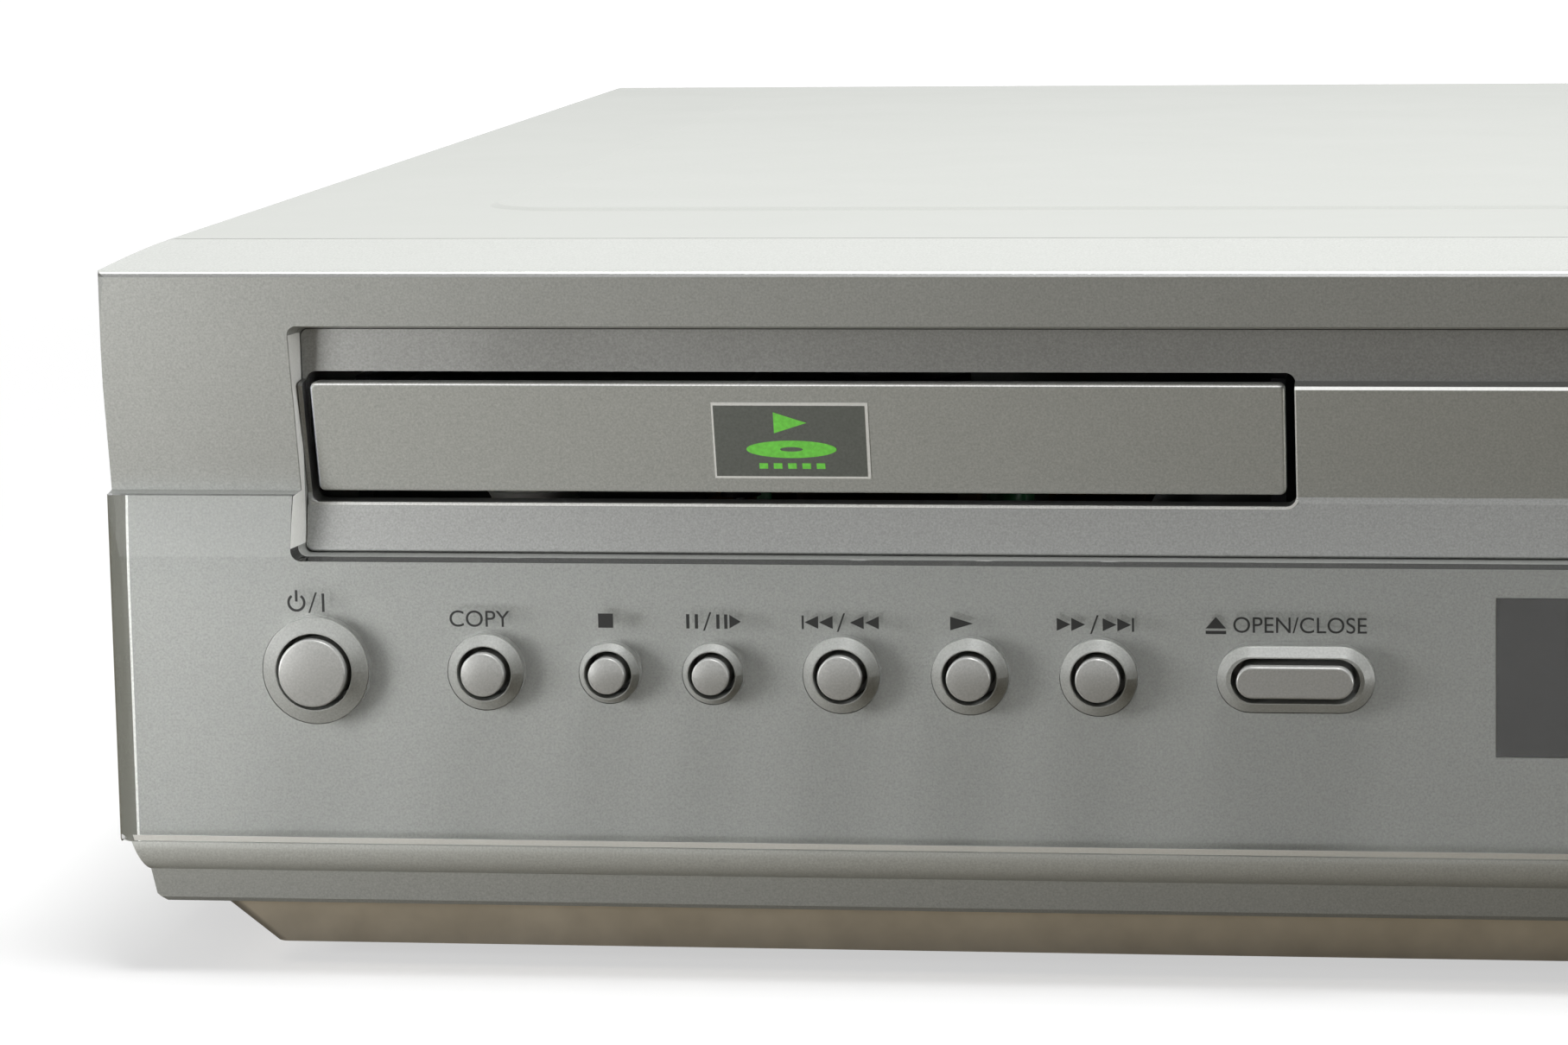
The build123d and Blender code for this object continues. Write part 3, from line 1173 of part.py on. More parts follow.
# Top cover: one folded sheet with a low pressed field on top and slots in the sides
cover_front = deep(BEZEL_DEPTH) + SEAM
with BuildPart() as top_cover:
    with BuildSketch(across(cover_front)):
        with Locations((0, (COVER_TOP + COVER_FOOT) / 2)):
            Rectangle(WIDTH, COVER_TOP - COVER_FOOT)
    extrude(amount=cover_front - BACK_Y)
    fillet(top_cover.edges().filter_by(Axis.Y).group_by(Axis.Z)[-1], radius=3.0)
    with BuildSketch(across(cover_front - 1)):
        with Locations((0, (COVER_TOP - SHEET + COVER_FOOT) / 2 - 5)):
            RectangleRounded(WIDTH - 2 * SHEET, COVER_TOP - SHEET - COVER_FOOT + 10, 3.0 - SHEET)
    extrude(amount=cover_front - BACK_Y - 3, mode=Mode.SUBTRACT)
    with BuildSketch(Plane.XY.offset(COVER_TOP - 0.01)):
        with Locations((0, 14)):
            RectangleRounded(356, 237, 12)
    extrude(amount=FIELD_RISE + 0.01, taper=72)
    with BuildSketch(Plane.XY.offset(COVER_TOP - SHEET - 0.01)):
        with Locations((0, 14)):
            RectangleRounded(355, 236, 11.5)
    extrude(amount=FIELD_RISE + 0.01, taper=72, mode=Mode.SUBTRACT)
    with BuildSketch(Plane.YZ):
        with Locations((60, 44)):
            with GridLocations(9, 24, 10, 2):
                SlotOverall(18, 3.2, rotation=90)
    extrude(amount=HALF + 1, both=True, mode=Mode.SUBTRACT)
top_cover.part.label = "top_cover"
export_step(top_cover.part, "parts/top_cover.step")

# Rear panel with its socket windows and vents
with BuildPart() as rear_panel:
    with BuildSketch(across(BACK_Y - SHEET)):
        with Locations((0, (COVER_TOP - SHEET - 0.2 + SILL_FOOT) / 2)):
            RectangleRounded(WIDTH - 2.4, COVER_TOP - SHEET - 0.2 - SILL_FOOT, 2.2)
    extrude(amount=-SHEET)
    for x in EURO_X:
        block((x - 29, x + 29), (BACK_Y - 3, BACK_Y + 3), (EURO_Z - 10, EURO_Z + 10), mode=Mode.SUBTRACT)
    for z in AERIAL_Z:
        rod_along_y(AERIAL_X, (BACK_Y - 3, BACK_Y + 3), z, 7.0, mode=Mode.SUBTRACT)
    for x in PHONO_X:
        for z in PHONO_Z:
            rod_along_y(x, (BACK_Y - 3, BACK_Y + 3), z, 5.3, mode=Mode.SUBTRACT)
    block(
        (INLET_X - 12, INLET_X + 12),
        (BACK_Y - 3, BACK_Y + 3),
        (INLET_Z - 8, INLET_Z + 8),
        mode=Mode.SUBTRACT,
    )
    with BuildSketch(across(BACK_Y + 2)):
        with Locations((-130, 66)):
            with GridLocations(7, 24, 12, 2):
                SlotOverall(18, 3, rotation=90)
    extrude(amount=6, mode=Mode.SUBTRACT)
rear_panel.part.label = "rear_panel"
export_step(rear_panel.part, "parts/rear_panel.step")

# Two 21-pin euro AV sockets: a block with the skirt's groove round the contact field
with BuildPart() as euro_av_sockets:
    for x in EURO_X:
        block((x - 28.8, x + 28.8), (BACK_Y - 14, SOCKET_Y - 2), (EURO_Z - 9.8, EURO_Z + 9.8))
        with BuildSketch(across(SOCKET_Y - 2)):
            for size, way in (((47.0, 14.0), Mode.ADD), ((42.0, 9.6), Mode.SUBTRACT)):
                with Locations((x, EURO_Z)):
                    RectangleRounded(*size, 1.5, mode=way)
        extrude(amount=8, mode=Mode.SUBTRACT)
euro_av_sockets.part.label = "euro_av_sockets"
export_step(euro_av_sockets.part, "parts/euro_av_sockets.step")

# Phono sockets in two rows
with BuildPart() as phono_sockets:
    for x in PHONO_X:
        for z in PHONO_Z:
            phono_jack(x, z, SOCKET_Y, BACK_Y + 0.6, 1)
    block((PHONO_X[-1] - 7, PHONO_X[0] + 7), (BACK_Y - 16, BACK_Y - 8.3), (PHONO_Z[1] - 7, PHONO_Z[0] + 7))
phono_sockets.part.label = "phono_sockets"
export_step(phono_sockets.part, "parts/phono_sockets.step")

# Aerial sockets, in and out
with BuildPart() as aerial_sockets:
    for z in AERIAL_Z:
        rod_along_y(AERIAL_X, (BACK_Y - 6, SOCKET_Y), z, 6.6)
        rod_along_y(AERIAL_X, (BACK_Y - 4, SOCKET_Y + 1), z, 4.8, mode=Mode.SUBTRACT)
    block((AERIAL_X - 10, AERIAL_X + 10), (BACK_Y - 26, BACK_Y - 5), (AERIAL_Z[1] - 10, AERIAL_Z[0] + 10))
aerial_sockets.part.label = "aerial_sockets"
export_step(aerial_sockets.part, "parts/aerial_sockets.step")

# Two-pin mains inlet
with BuildPart() as mains_inlet:
    block((INLET_X - 11.8, INLET_X + 11.8), (BACK_Y - 18, BACK_Y + 1), (INLET_Z - 7.8, INLET_Z + 7.8))
    with BuildSketch(across(BACK_Y + 1)):
        with Locations((INLET_X, INLET_Z)):
            SlotOverall(17, 8.6)
    extrude(amount=13, mode=Mode.SUBTRACT)
    for side in (-1, 1):
        rod_along_y(INLET_X + side * 4.3, (BACK_Y - 13, BACK_Y - 2), INLET_Z, 1.2)
mains_inlet.part.label = "mains_inlet"
export_step(mains_inlet.part, "parts/mains_inlet.step")

# Domed screws that hold the cover and the rear panel
with BuildPart() as case_screws:
    for x in (-206, -70, 70, 206):
        for z in (18, 94):
            turned_along_y(
                x,
                z,
                [(0, BACK_Y), (3.4, BACK_Y), (3.4, BACK_Y + 0.6), (2.4, BACK_Y + 1.5), (0, BACK_Y + 1.9)],
            )
case_screws.part.label = "case_screws"
export_step(case_screws.part, "parts/case_screws.step")

# Disc board: flat chips, a crystal, connectors and four posts
with BuildPart() as disc_board:
    block((-176, -60), (-136, -12), (16.0, BOARD_TOP))
    for x, y, size in ((-126, -78, 28), (-98, -104, 20), (-152, -48, 14)):
        with BuildSketch(Plane.XY.offset(BOARD_TOP)):
            with Locations((x, y)):
                Rectangle(size, size)
        extrude(amount=2.4, taper=8)
    for x in (-168, -140, -90):
        block((x - 9, x + 9), (-132, -126), (BOARD_TOP, BOARD_TOP + 6))
        block((x - 8, x + 8), (-131, -127.5), (BOARD_TOP + 2, BOARD_TOP + 7), mode=Mode.SUBTRACT)
    with BuildSketch(Plane.XY.offset(BOARD_TOP)):
        with Locations((-78, -60)):
            SlotOverall(11, 4.6)
    extrude(amount=3.6)
    for x in (-172, -64):
        for y in (-130, -18):
            upright(x, y, 3.0, (PAN_FLOOR, 16.0))
disc_board.part.label = "disc_board"
export_step(disc_board.part, "parts/disc_board.step")


def can_capacitor(x, y, radius, height):
    """An upright electrolytic capacitor with the groove round its foot."""
    turned(
        x,
        y,
        [
            (0, BOARD_TOP),
            (radius, BOARD_TOP),
            (radius, BOARD_TOP + 2.0),
            (radius - 0.6, BOARD_TOP + 2.8),
            (radius, BOARD_TOP + 3.6),
            (radius, BOARD_TOP + height - 0.6),
            (radius - 0.6, BOARD_TOP + height),
            (0, BOARD_TOP + height),
        ],
    )


# Power board: transformer with its bobbin, comb heat sink, choke, capacitors and four posts
with BuildPart() as power_board:
    block((-204, -70), (16, 78), (16.0, BOARD_TOP))
    block((-156, -122), (26, 60), (BOARD_TOP + 5, BOARD_TOP + 33))
    with BuildSketch(Plane.XY.offset(BOARD_TOP)):
        with Locations((-139, 43)):
            RectangleRounded(24, 46, 4)
    extrude(amount=31)
    block((-110, -74), (66, 69), (BOARD_TOP, 58.0))
    for fin in range(7):
        block((-109 + 5.6 * fin, -107.6 + 5.6 * fin), (56, 66), (BOARD_TOP, 58.0))
    can_capacitor(-186, 40, 11.0, 30)
    can_capacitor(-172, 64, 6.3, 20)
    can_capacitor(-112, 26, 5.0, 16)
    can_capacitor(-98, 26, 5.0, 16)
    turned(-94, 44, [(2.5, BOARD_TOP), (8, BOARD_TOP), (8, BOARD_TOP + 9), (2.5, BOARD_TOP + 9)])
    for x in (-200, -76):
        for y in (20, 74):
            post_foot = SILL_FOOT if x < -195 else PAN_FLOOR
            upright(x, y, 3.0, (post_foot, 16.0))
power_board.part.label = "power_board"
export_step(power_board.part, "parts/power_board.step")

# Main board: screened tuner can, chips, capacitors, connectors and six posts
with BuildPart() as main_board:
    block((-196, 196), (84, 154), (14.0, MAIN_TOP))
    block((92, 152), (102, 138), (MAIN_TOP, 34.0))
    with BuildSketch(Plane.XY.offset(34.0)):
        with Locations((122, 120)):
            RectangleRounded(56, 32, 2)
    extrude(amount=0.6)
    for x, y, size in ((-47, 123, 26), (10, 112, 16), (44, 128, 18), (-100, 112, 18)):
        with BuildSketch(Plane.XY.offset(MAIN_TOP)):
            with Locations((x, y)):
                Rectangle(size, size)
        extrude(amount=2.4, taper=8)
    for x in (-150, -124, 72):
        block((x - 11, x + 11), (88, 94), (MAIN_TOP, MAIN_TOP + 8))
        block((x - 10, x + 10), (89, 92.5), (MAIN_TOP + 3, MAIN_TOP + 9), mode=Mode.SUBTRACT)
    with Locations((-150, 136, MAIN_TOP + 5.5)):
        with GridLocations(16, 14, 4, 2):
            Cylinder(4.0, 11.0)
    for x in (-188, 0, 188):
        for y in (90, 146):
            upright(x, y, 3.0, (PAN_FLOOR, 14.0))
main_board.part.label = "main_board"
export_step(main_board.part, "parts/main_board.step")
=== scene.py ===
"""Looks of a disc and tape combination player in satin silver paint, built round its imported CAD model."""

from math import cos, radians, sin

import bpy
import numpy as np
from mathutils import Matrix, Vector


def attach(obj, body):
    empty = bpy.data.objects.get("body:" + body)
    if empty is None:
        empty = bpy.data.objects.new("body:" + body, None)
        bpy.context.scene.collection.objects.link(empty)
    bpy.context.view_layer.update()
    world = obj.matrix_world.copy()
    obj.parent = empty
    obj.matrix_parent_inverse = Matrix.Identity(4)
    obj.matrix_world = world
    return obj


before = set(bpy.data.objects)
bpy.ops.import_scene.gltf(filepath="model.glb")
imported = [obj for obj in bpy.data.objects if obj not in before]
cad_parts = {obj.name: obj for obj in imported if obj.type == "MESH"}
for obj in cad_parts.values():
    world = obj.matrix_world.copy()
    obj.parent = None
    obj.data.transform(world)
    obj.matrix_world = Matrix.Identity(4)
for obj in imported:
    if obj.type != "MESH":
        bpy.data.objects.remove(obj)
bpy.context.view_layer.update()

# Places and sizes are in mm unless a comment says otherwise: X to the right, Z up, Y towards the back
MM = 0.001
# Stands for no bound
FAR = 1000.0
# Size of the slow noise in every finish, and what it changes the roughness by
CLOUD_SIZE, CLOUD_SPREAD = 28.0, 0.03

# Bezel: the top edge with its chamfer, painted darker as shade, and the line on it that is painted bright as
# a highlight, and the cove under the plate
EDGE_Z = 99.4
CHAMFER_FOOT, HIGHLIGHT_FOOT, HIGHLIGHT_TOP = EDGE_Z - 0.52, EDGE_Z - 0.08, EDGE_Z + 0.12
COVE_FOOT, COVE_BACK_Y = 14.5, -168.0

# Clear control plate: its face, the width of its bevelled ends, and a place behind the silver ground
PLATE_FACE_Y = -174.5
PLATE_FOOT, PLATE_TOP, PLATE_END = 19.1, 68.2, 215.0
END_BEVEL = 2.6
GROUND_BACK_Y = -170.9

# Prints on the plate
LABEL_Z, POWER_LABEL_Z = 51.3, 53.5
INK_THICK = 0.03

# Recess of the doors: half its width at its front, and its end walls, which close in towards the back
RECESS_HALF, RECESS_FRONT_Y = 188.5, PLATE_FACE_Y - 0.6
FLARE, FLARE_DEPTH = 0.8, 7.0
WALL_FOOT, WALL_TOP, WALL_BACK_Y = 61.0, 90.6, -168.4

# Leaning band of the surround, with the tray's mouth and its lips, which carry painted highlights, and the
# lower strip's left end
BAND_TOP, BAND_FOOT = 83.5, 67.8
BAND_TOP_Y, BAND_FOOT_Y = -170.5, -167.0
MOUTH_LEFT, MOUTH_RIGHT, MOUTH_FOOT = -187.0, -49.2, 66.6
MOUTH_CORNER = 1.4
LOWER_LEFT = -187.6
LIP, LIP_Y = 0.4, -167.65

# Tray door, its badge, and the cassette flap
DOOR_LEFT, DOOR_RIGHT, DOOR_TOP = -186.0, -50.6, 83.8
BADGE_LEFT, BADGE_RIGHT, BADGE_FOOT, BADGE_TOP = -129.6, -107.8, 70.2, 81.1
FLAP_LEFT, FLAP_RIGHT, FLAP_GAP = -11.6, 185.8, 0.6

# Phono sockets: the middles of the back ones and of the front ones, half the width that one takes up, and a
# place just inside the back
PHONO_X, FRONT_PHONO_X = (-20.0, -34.0, -48.0), (150.0, 165.0, 180.0)
PHONO_HALF, PHONO_Y = 7.0, 172.0

# Colours that more than one finish has
# The doors' paint is also the painted light of the surround's band
DOOR_PAINT_AND_BAND_LIGHT, BRIGHT_EDGE, NEAR_BLACK, ACRYLIC_TINT = "#B0B2AE", "#F4F5F2", "#1E1E1F", "#EEEEEE"


def linear(code):
    """Linear colour with alpha from an sRGB hex code."""
    parts = np.array([int(code[i:i + 2], 16) for i in (1, 3, 5)]) / 255
    parts = np.where(parts <= 0.04045, parts / 12.92, ((parts + 0.055) / 1.055) ** 2.4)
    return (*parts.tolist(), 1.0)


def add(tree, kind, values=(), **settings):
    """Add a node: settings are its own fields, values go to its input sockets or are linked to them."""
    made = tree.nodes.new("ShaderNode" + kind)
    for field, value in settings.items():
        setattr(made, field, value)
    for socket, value in dict(values).items():
        if isinstance(value, bpy.types.NodeSocket):
            tree.links.new(value, made.inputs[socket])
        else:
            made.inputs[socket].default_value = value
    return made


def any_ray(tree, *kinds):
    """1 for rays of the named kinds, and 0 for all others."""
    path = add(tree, "LightPath")
    share = path.outputs[kinds[0]]
    for kind in kinds[1:]:
        either = add(tree, "Math", {0: share, 1: path.outputs[kind]}, operation="MAXIMUM")
        share = either.outputs["Value"]
    return share


def zone(tree, place, x=(-FAR, FAR), y=(-FAR, FAR), z=(-FAR, FAR)):
    """1 where the place lies between the bounds, in mm, and 0 elsewhere."""
    parts = add(tree, "SeparateXYZ", {0: place})
    share = 1.0
    for axis, (low, high) in {"X": x, "Y": y, "Z": z}.items():
        middle, reach = (low + high) / 2 * MM, (high - low) / 2 * MM
        inside = add(tree, "Math", {0: parts.outputs[axis], 1: middle, 2: reach}, operation="COMPARE")
        both = add(tree, "Math", {0: share, 1: inside.outputs["Value"]}, operation="MULTIPLY")
        share = both.outputs["Value"]
    return share


def patched(tree, place, colour, metallic, patches):
    """Colour and metallic as they are, but for each patch's own inside the bounds of its zone."""
    tint, metal = linear(colour)[:3], metallic
    for bounds, other, other_metal in patches:
        inside = zone(tree, place, **bounds)
        step = np.subtract(linear(other)[:3], linear(colour)[:3]).tolist()
        mixed = add(tree, "VectorMath", {0: inside, 1: step, 2: tint}, operation="MULTIPLY_ADD")
        tint = mixed.outputs["Vector"]
        mixed = add(tree, "Math", {0: inside, 1: other_metal - metallic, 2: metal},
                    operation="MULTIPLY_ADD")
        metal = mixed.outputs["Value"]
    return tint, metal


def surface(name, colour, roughness, metallic=0.0, grain=0.3, spread=0.0, relief=0.0, relief_size=1.0,
            patches=(), **sockets):
    """A painted, moulded or metal finish. Colour varies by spread at the grain's size, and a bump of the
    relief's height has the relief's size, all in mm; a slow noise changes the roughness a little. Each patch
    has the bounds of a zone, and the colour and metallic that it has there."""
    material = bpy.data.materials.new(name)
    material.use_nodes = True
    tree = material.node_tree
    shader = tree.nodes["Principled BSDF"]
    shader.inputs["Metallic"].default_value = metallic
    for socket, value in sockets.items():
        shader.inputs[socket.replace("_", " ")].default_value = value
    place = add(tree, "TexCoord").outputs["Object"]
    speckle = add(tree, "TexNoise", {"Vector": place, "Scale": 1 / (grain * MM), "Detail": 2.0})
    share = add(tree, "MapRange", {"Value": speckle.outputs["Fac"], "From Min": 0.25, "From Max": 0.75,
                                   "To Min": 1 - spread, "To Max": 1 + spread})
    tint, metal = patched(tree, place, colour, metallic, patches)
    if patches:
        tree.links.new(metal, shader.inputs["Metallic"])
    shade = add(tree, "VectorMath", {0: tint, 3: share.outputs["Result"]}, operation="SCALE")
    tree.links.new(shade.outputs["Vector"], shader.inputs["Base Color"])
    cloud = add(tree, "TexNoise", {"Vector": place, "Scale": 1 / (CLOUD_SIZE * MM), "Detail": 3.0})
    polish = add(tree, "MapRange", {"Value": cloud.outputs["Fac"], "From Min": 0.3, "From Max": 0.7,
                                    "To Min": roughness - CLOUD_SPREAD, "To Max": roughness + CLOUD_SPREAD})
    tree.links.new(polish.outputs["Result"], shader.inputs["Roughness"])
    if relief:
        texture = add(tree, "TexNoise", {"Vector": place, "Scale": 1 / (relief_size * MM), "Detail": 2.0})
        bump = add(tree, "Bump", {"Height": texture.outputs["Fac"], "Distance": relief * MM,
                                  "Strength": 1.0})
        tree.links.new(bump.outputs["Normal"], shader.inputs["Normal"])
    return material


def pass_lamps(material):
    """Let the lamps' light through acrylic, with its tint, so that it reaches what stands behind."""
    tree = material.node_tree
    lamps = any_ray(tree, "Is Shadow Ray", "Is Diffuse Ray")
    passed = add(tree, "BsdfTransparent", {"Color": linear(ACRYLIC_TINT)})
    both = add(tree, "MixShader", {0: lamps, 1: tree.nodes["Principled BSDF"].outputs["BSDF"],
                                   2: passed.outputs["BSDF"]})
    tree.links.new(both.outputs["Shader"], tree.nodes["Material Output"].inputs["Surface"])


# Silver paint on ABS: aluminium flake under a satin surface. The flake is 0.03 mm in truth, and is drawn at
# 0.28 mm so that it shows
flake = {"grain": 0.28, "spread": 0.16, "relief": 0.01, "relief_size": 1.6}
plate_z, bevel_x = (PLATE_FOOT, PLATE_TOP), END_BEVEL - PLATE_END
front_marks = [
    # the chamfer under the top edge is painted darker, as shade, and a fine line on it bright, as a painted
    # highlight
    ({"z": (CHAMFER_FOOT, HIGHLIGHT_FOOT)}, "#6E6F6D", 0.0),
    ({"z": (HIGHLIGHT_FOOT, HIGHLIGHT_TOP)}, BRIGHT_EDGE, 0.9),
    # the top strip, which goes on into the cover
    ({"z": (HIGHLIGHT_TOP, FAR)}, "#ADAFAB", 0.0),
    # the bosses round the buttons
    ({"y": (-FAR, PLATE_FACE_Y - 0.05)}, "#A2A4A1", 0.0),
    # the cove under the plate, painted lighter than the front round it: painted light on a face that looks
    # down and forward
    ({"y": (-FAR, COVE_BACK_Y), "z": (COVE_FOOT + 0.1, PLATE_FOOT - 0.1)}, "#BCBEBA", 0.25),
    # the ground behind the plate's bevelled left end: a grey band of painted shade and a light line of
    # painted highlight, which stand in for how the bevel bends the light
    ({"x": (-FAR, bevel_x), "y": (-FAR, GROUND_BACK_Y), "z": plate_z}, "#77786E", 0.0),
    ({"x": (bevel_x, bevel_x + 0.35), "y": (-FAR, GROUND_BACK_Y), "z": plate_z}, BRIGHT_EDGE, 0.3),
]
front_silver = surface("satin_silver_paint", "#A9ABA8", 0.42, metallic=0.25, patches=front_marks, **flake)

# The surround's strips are darker and more metallic than its band: with the band's lighter colour, painted
# light and shade on one paint
surround_painted_light = [
    # the band that carries the doors is painted lighter, in the doors' colour, as painted light
    ({"x": (MOUTH_RIGHT + LIP / 2, FAR), "z": (BAND_FOOT, BAND_TOP)}, DOOR_PAINT_AND_BAND_LIGHT, 0.05),
    # the lips of the tray's mouth, at its right and at its foot, are painted bright as highlights
    ({"x": (MOUTH_RIGHT - 0.1, MOUTH_RIGHT + LIP / 2), "y": (-FAR, LIP_Y + 1),
      "z": (MOUTH_FOOT + 1, BAND_TOP)}, BRIGHT_EDGE, 0.0),
    ({"x": (MOUTH_LEFT, MOUTH_RIGHT - MOUTH_CORNER), "y": (-FAR, LIP_Y + 0.3),
      "z": (MOUTH_FOOT - LIP, MOUTH_FOOT - 0.02)}, BRIGHT_EDGE, 0.0),
    # and so is the lower strip's left end, a painted highlight too
    ({"x": (LOWER_LEFT, LOWER_LEFT + LIP / 2), "y": (-FAR, LIP_Y), "z": (-FAR, MOUTH_FOOT)},
     BRIGHT_EDGE, 0.0),
]
surround_silver = surface("surround_silver_paint", "#949593", 0.40, metallic=0.75, patches=surround_painted_light,
                          **flake)

# The tray door's rounded edges are painted bright as highlights: at the top, at the left and at the right
side_z = (-FAR, DOOR_TOP - 0.35)
door_painted_highlights = [
    ({"z": (DOOR_TOP - 0.35, FAR)}, BRIGHT_EDGE, 1.0),
    ({"x": (-FAR, DOOR_LEFT + 0.3), "z": side_z}, "#E6E9F2", 0.8),
    ({"x": (DOOR_RIGHT - 0.2, FAR), "z": side_z}, BRIGHT_EDGE, 0.5),
]
door_silver = surface("door_silver_paint", DOOR_PAINT_AND_BAND_LIGHT, 0.40, metallic=0.05, patches=door_painted_highlights, **flake)
# A painted highlight on an edge: a light line, bright and metallic
painted_highlight_bead = surface("painted_highlight_bead", BRIGHT_EDGE, 0.25, metallic=1.0, grain=0.5, spread=0.03)
# Silver paint on the button caps: smoother, so that each cap has a soft highlight
cap_silver = surface("satin_silver_caps", "#AEAFAD", 0.34, metallic=0.2, grain=0.28, spread=0.12)

# Enamel on steel sheet, silver-white: satin, with very fine flake and a slow orange peel
cover_enamel = surface("silver_white_enamel", "#ABADA9", 0.5, grain=0.3, spread=0.04, relief=0.012,
                       relief_size=2.4, Specular_IOR_Level=0.3)
# Zinc-plated sheet: cool grey with soft clouding
zinc_sheet = surface("zinc_plated_sheet", "#9FA09B", 0.38, metallic=0.85, grain=6.0, spread=0.10,
                     relief=0.006, relief_size=0.8)
# Passivated zinc on the pan: a brown-grey, made paler than the zinc is as painted light
pan_zinc = surface("passivated_zinc", "#E6DECF", 0.34, metallic=0.9, grain=5.0, spread=0.08,
                   relief=0.006, relief_size=0.8)
# Ground steel of rods and shafts: bright and neutral
ground_steel = surface("ground_steel", "#C4C4C2", 0.22, metallic=1.0, grain=1.0, spread=0.05)
# Turned aluminium of the drum: paler, and a little sharper
turned_aluminium = surface("turned_aluminium", "#CDCED0", 0.18, metallic=1.0, grain=0.5, spread=0.04)
# Nickel plate of the aerial sockets: bright and slightly warm
nickel_plate = surface("nickel_plate", "#C2BFB6", 0.2, metallic=1.0, grain=1.5, spread=0.05)
# Blackened steel of the screws: dark with a dull shine
black_steel = surface("blackened_steel", "#26262A", 0.4, metallic=0.7, grain=0.5, spread=0.15)

# ABS as moulded: near-black, with a spark-eroded grain of about 0.2 mm, drawn at 0.4 mm
black_abs = surface("black_abs", NEAR_BLACK, 0.5, grain=0.4, spread=0.15, relief=0.02, relief_size=0.4)
# The same, a little greyer, in the disc loader
loader_abs = surface("loader_grey_abs", "#2A2B2D", 0.46, grain=0.4, spread=0.12, relief=0.02,
                     relief_size=0.4)
# Phono sockets carry the usual colours: picture yellow, sound white and red
phono_colours = ["#D9B400", "#E6E4DC", "#B3201C"]
phono_faces = [
    ("coloured_phono_abs", PHONO_X, (PHONO_Y, FAR)),
    ("front_phono_abs", FRONT_PHONO_X, (-FAR, PLATE_FACE_Y + 1)),
]
phono_abs, front_phono_abs = [
    surface(name, NEAR_BLACK, 0.45, grain=0.4, spread=0.1, patches=[
        ({"x": (x - PHONO_HALF, x + PHONO_HALF), "y": face_y}, code, 0.0)
        for x, code in zip(middles, phono_colours)])
    for name, middles, face_y in phono_faces]
# Acetal of the clamper and the gear: waxy white
white_acetal = surface("white_acetal", "#E4E3DC", 0.42, grain=0.8, spread=0.03)
# Moulded rubber: black and dull
black_rubber = surface("black_rubber", "#191919", 0.72, grain=0.5, spread=0.2, relief=0.03,
                       relief_size=0.5)
# Boards: glossy green solder mask with its tracks under it, and plain brown phenolic paper
green_mask = surface("green_solder_mask", "#1E5A34", 0.35, grain=1.6, spread=0.25, relief=0.03,
                     relief_size=1.2)
brown_board = surface("phenolic_board", "#8A6A3E", 0.55, grain=1.2, spread=0.12)
# Display: dark green-grey glass behind a window of smoked acrylic, dark and glossy
display_glass = surface("display_glass", "#1B2422", 0.12, grain=1.2, spread=0.1)
smoked_acrylic = surface("smoked_acrylic", "#16171A", 0.06, grain=2.0, spread=0.05)
# Screen-printed ink: near-black, matt
dark_ink = surface("dark_ink", "#1A1B1B", 0.6, grain=0.2, spread=0.1)
# Foil of the badge: dark embossed foil, its bright cut edge, and the green of its sign
dark_foil = surface("dark_foil", "#7C817E", 0.3, metallic=0.35, grain=0.35, spread=0.12)
bright_foil = surface("bright_foil_edge", BRIGHT_EDGE, 0.25, grain=0.4, spread=0.05)
green_foil = surface("green_foil", "#86F060", 0.35, grain=0.6, spread=0.12)

# Sawn acrylic: frosted white, which is also painted light where it stands on walls and edges that look lit
frosted_and_painted_light_edge = surface("frosted_acrylic_and_painted_light", BRIGHT_EDGE, 0.5, grain=0.4, spread=0.04)
pass_lamps(frosted_and_painted_light_edge)
# Clear acrylic: bends what the camera sees
clear_acrylic = bpy.data.materials.new("clear_acrylic")
clear_acrylic.use_nodes = True
glass = clear_acrylic.node_tree.nodes["Principled BSDF"]
glass.inputs["Base Color"].default_value = linear("#F2F3F2")
glass.inputs["Roughness"].default_value = 0.03
glass.inputs["IOR"].default_value = 1.49
glass.inputs["Transmission Weight"].default_value = 1.0
pass_lamps(clear_acrylic)


def dress(mesh, material):
    """Give a mesh this finish alone."""
    mesh.materials.clear()
    mesh.materials.append(material)


finishes = {
    front_silver: ["front_bezel"],
    surround_silver: ["door_surround", "cassette_flap"],
    door_silver: ["tray_door"],
    cover_enamel: ["top_cover"],
    clear_acrylic: ["control_plate"],
    smoked_acrylic: ["display_window"],
    display_glass: ["display_module"],
    pan_zinc: ["base_pan"],
    zinc_sheet: ["rear_panel", "deck_chassis", "deck_posts", "carriage_brackets",
                 "cassette_holder", "carriage_slides", "clamper_bridge"],
    ground_steel: ["sled_rods", "capstan", "tape_heads", "loading_motor"],
    turned_aluminium: ["head_drum", "drum_base"],
    nickel_plate: ["aerial_sockets"],
    black_abs: ["euro_av_sockets", "mains_inlet", "turntable", "laser_sled", "supply_reel",
                "takeup_reel", "tact_switches"],
    phono_abs: ["phono_sockets"],
    front_phono_abs: ["front_sockets"],
    loader_abs: ["loader_frame", "loader_legs", "disc_tray", "tray_rack", "traverse_frame"],
    white_acetal: ["disc_clamper", "loading_gear"],
    black_rubber: ["feet", "pinch_arm"],
    black_steel: ["case_screws"],
    green_mask: ["main_board", "disc_board"],
    brown_board: ["power_board", "front_board"],
    cap_silver: [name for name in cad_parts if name.endswith("_button")],
}
for material, names in finishes.items():
    for name in names:
        dress(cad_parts[name].data, material)


def put(name, data):
    """An object in the scene for a mesh, a lamp or a camera."""
    made = bpy.data.objects.new(name, data)
    bpy.context.scene.collection.objects.link(made)
    return made


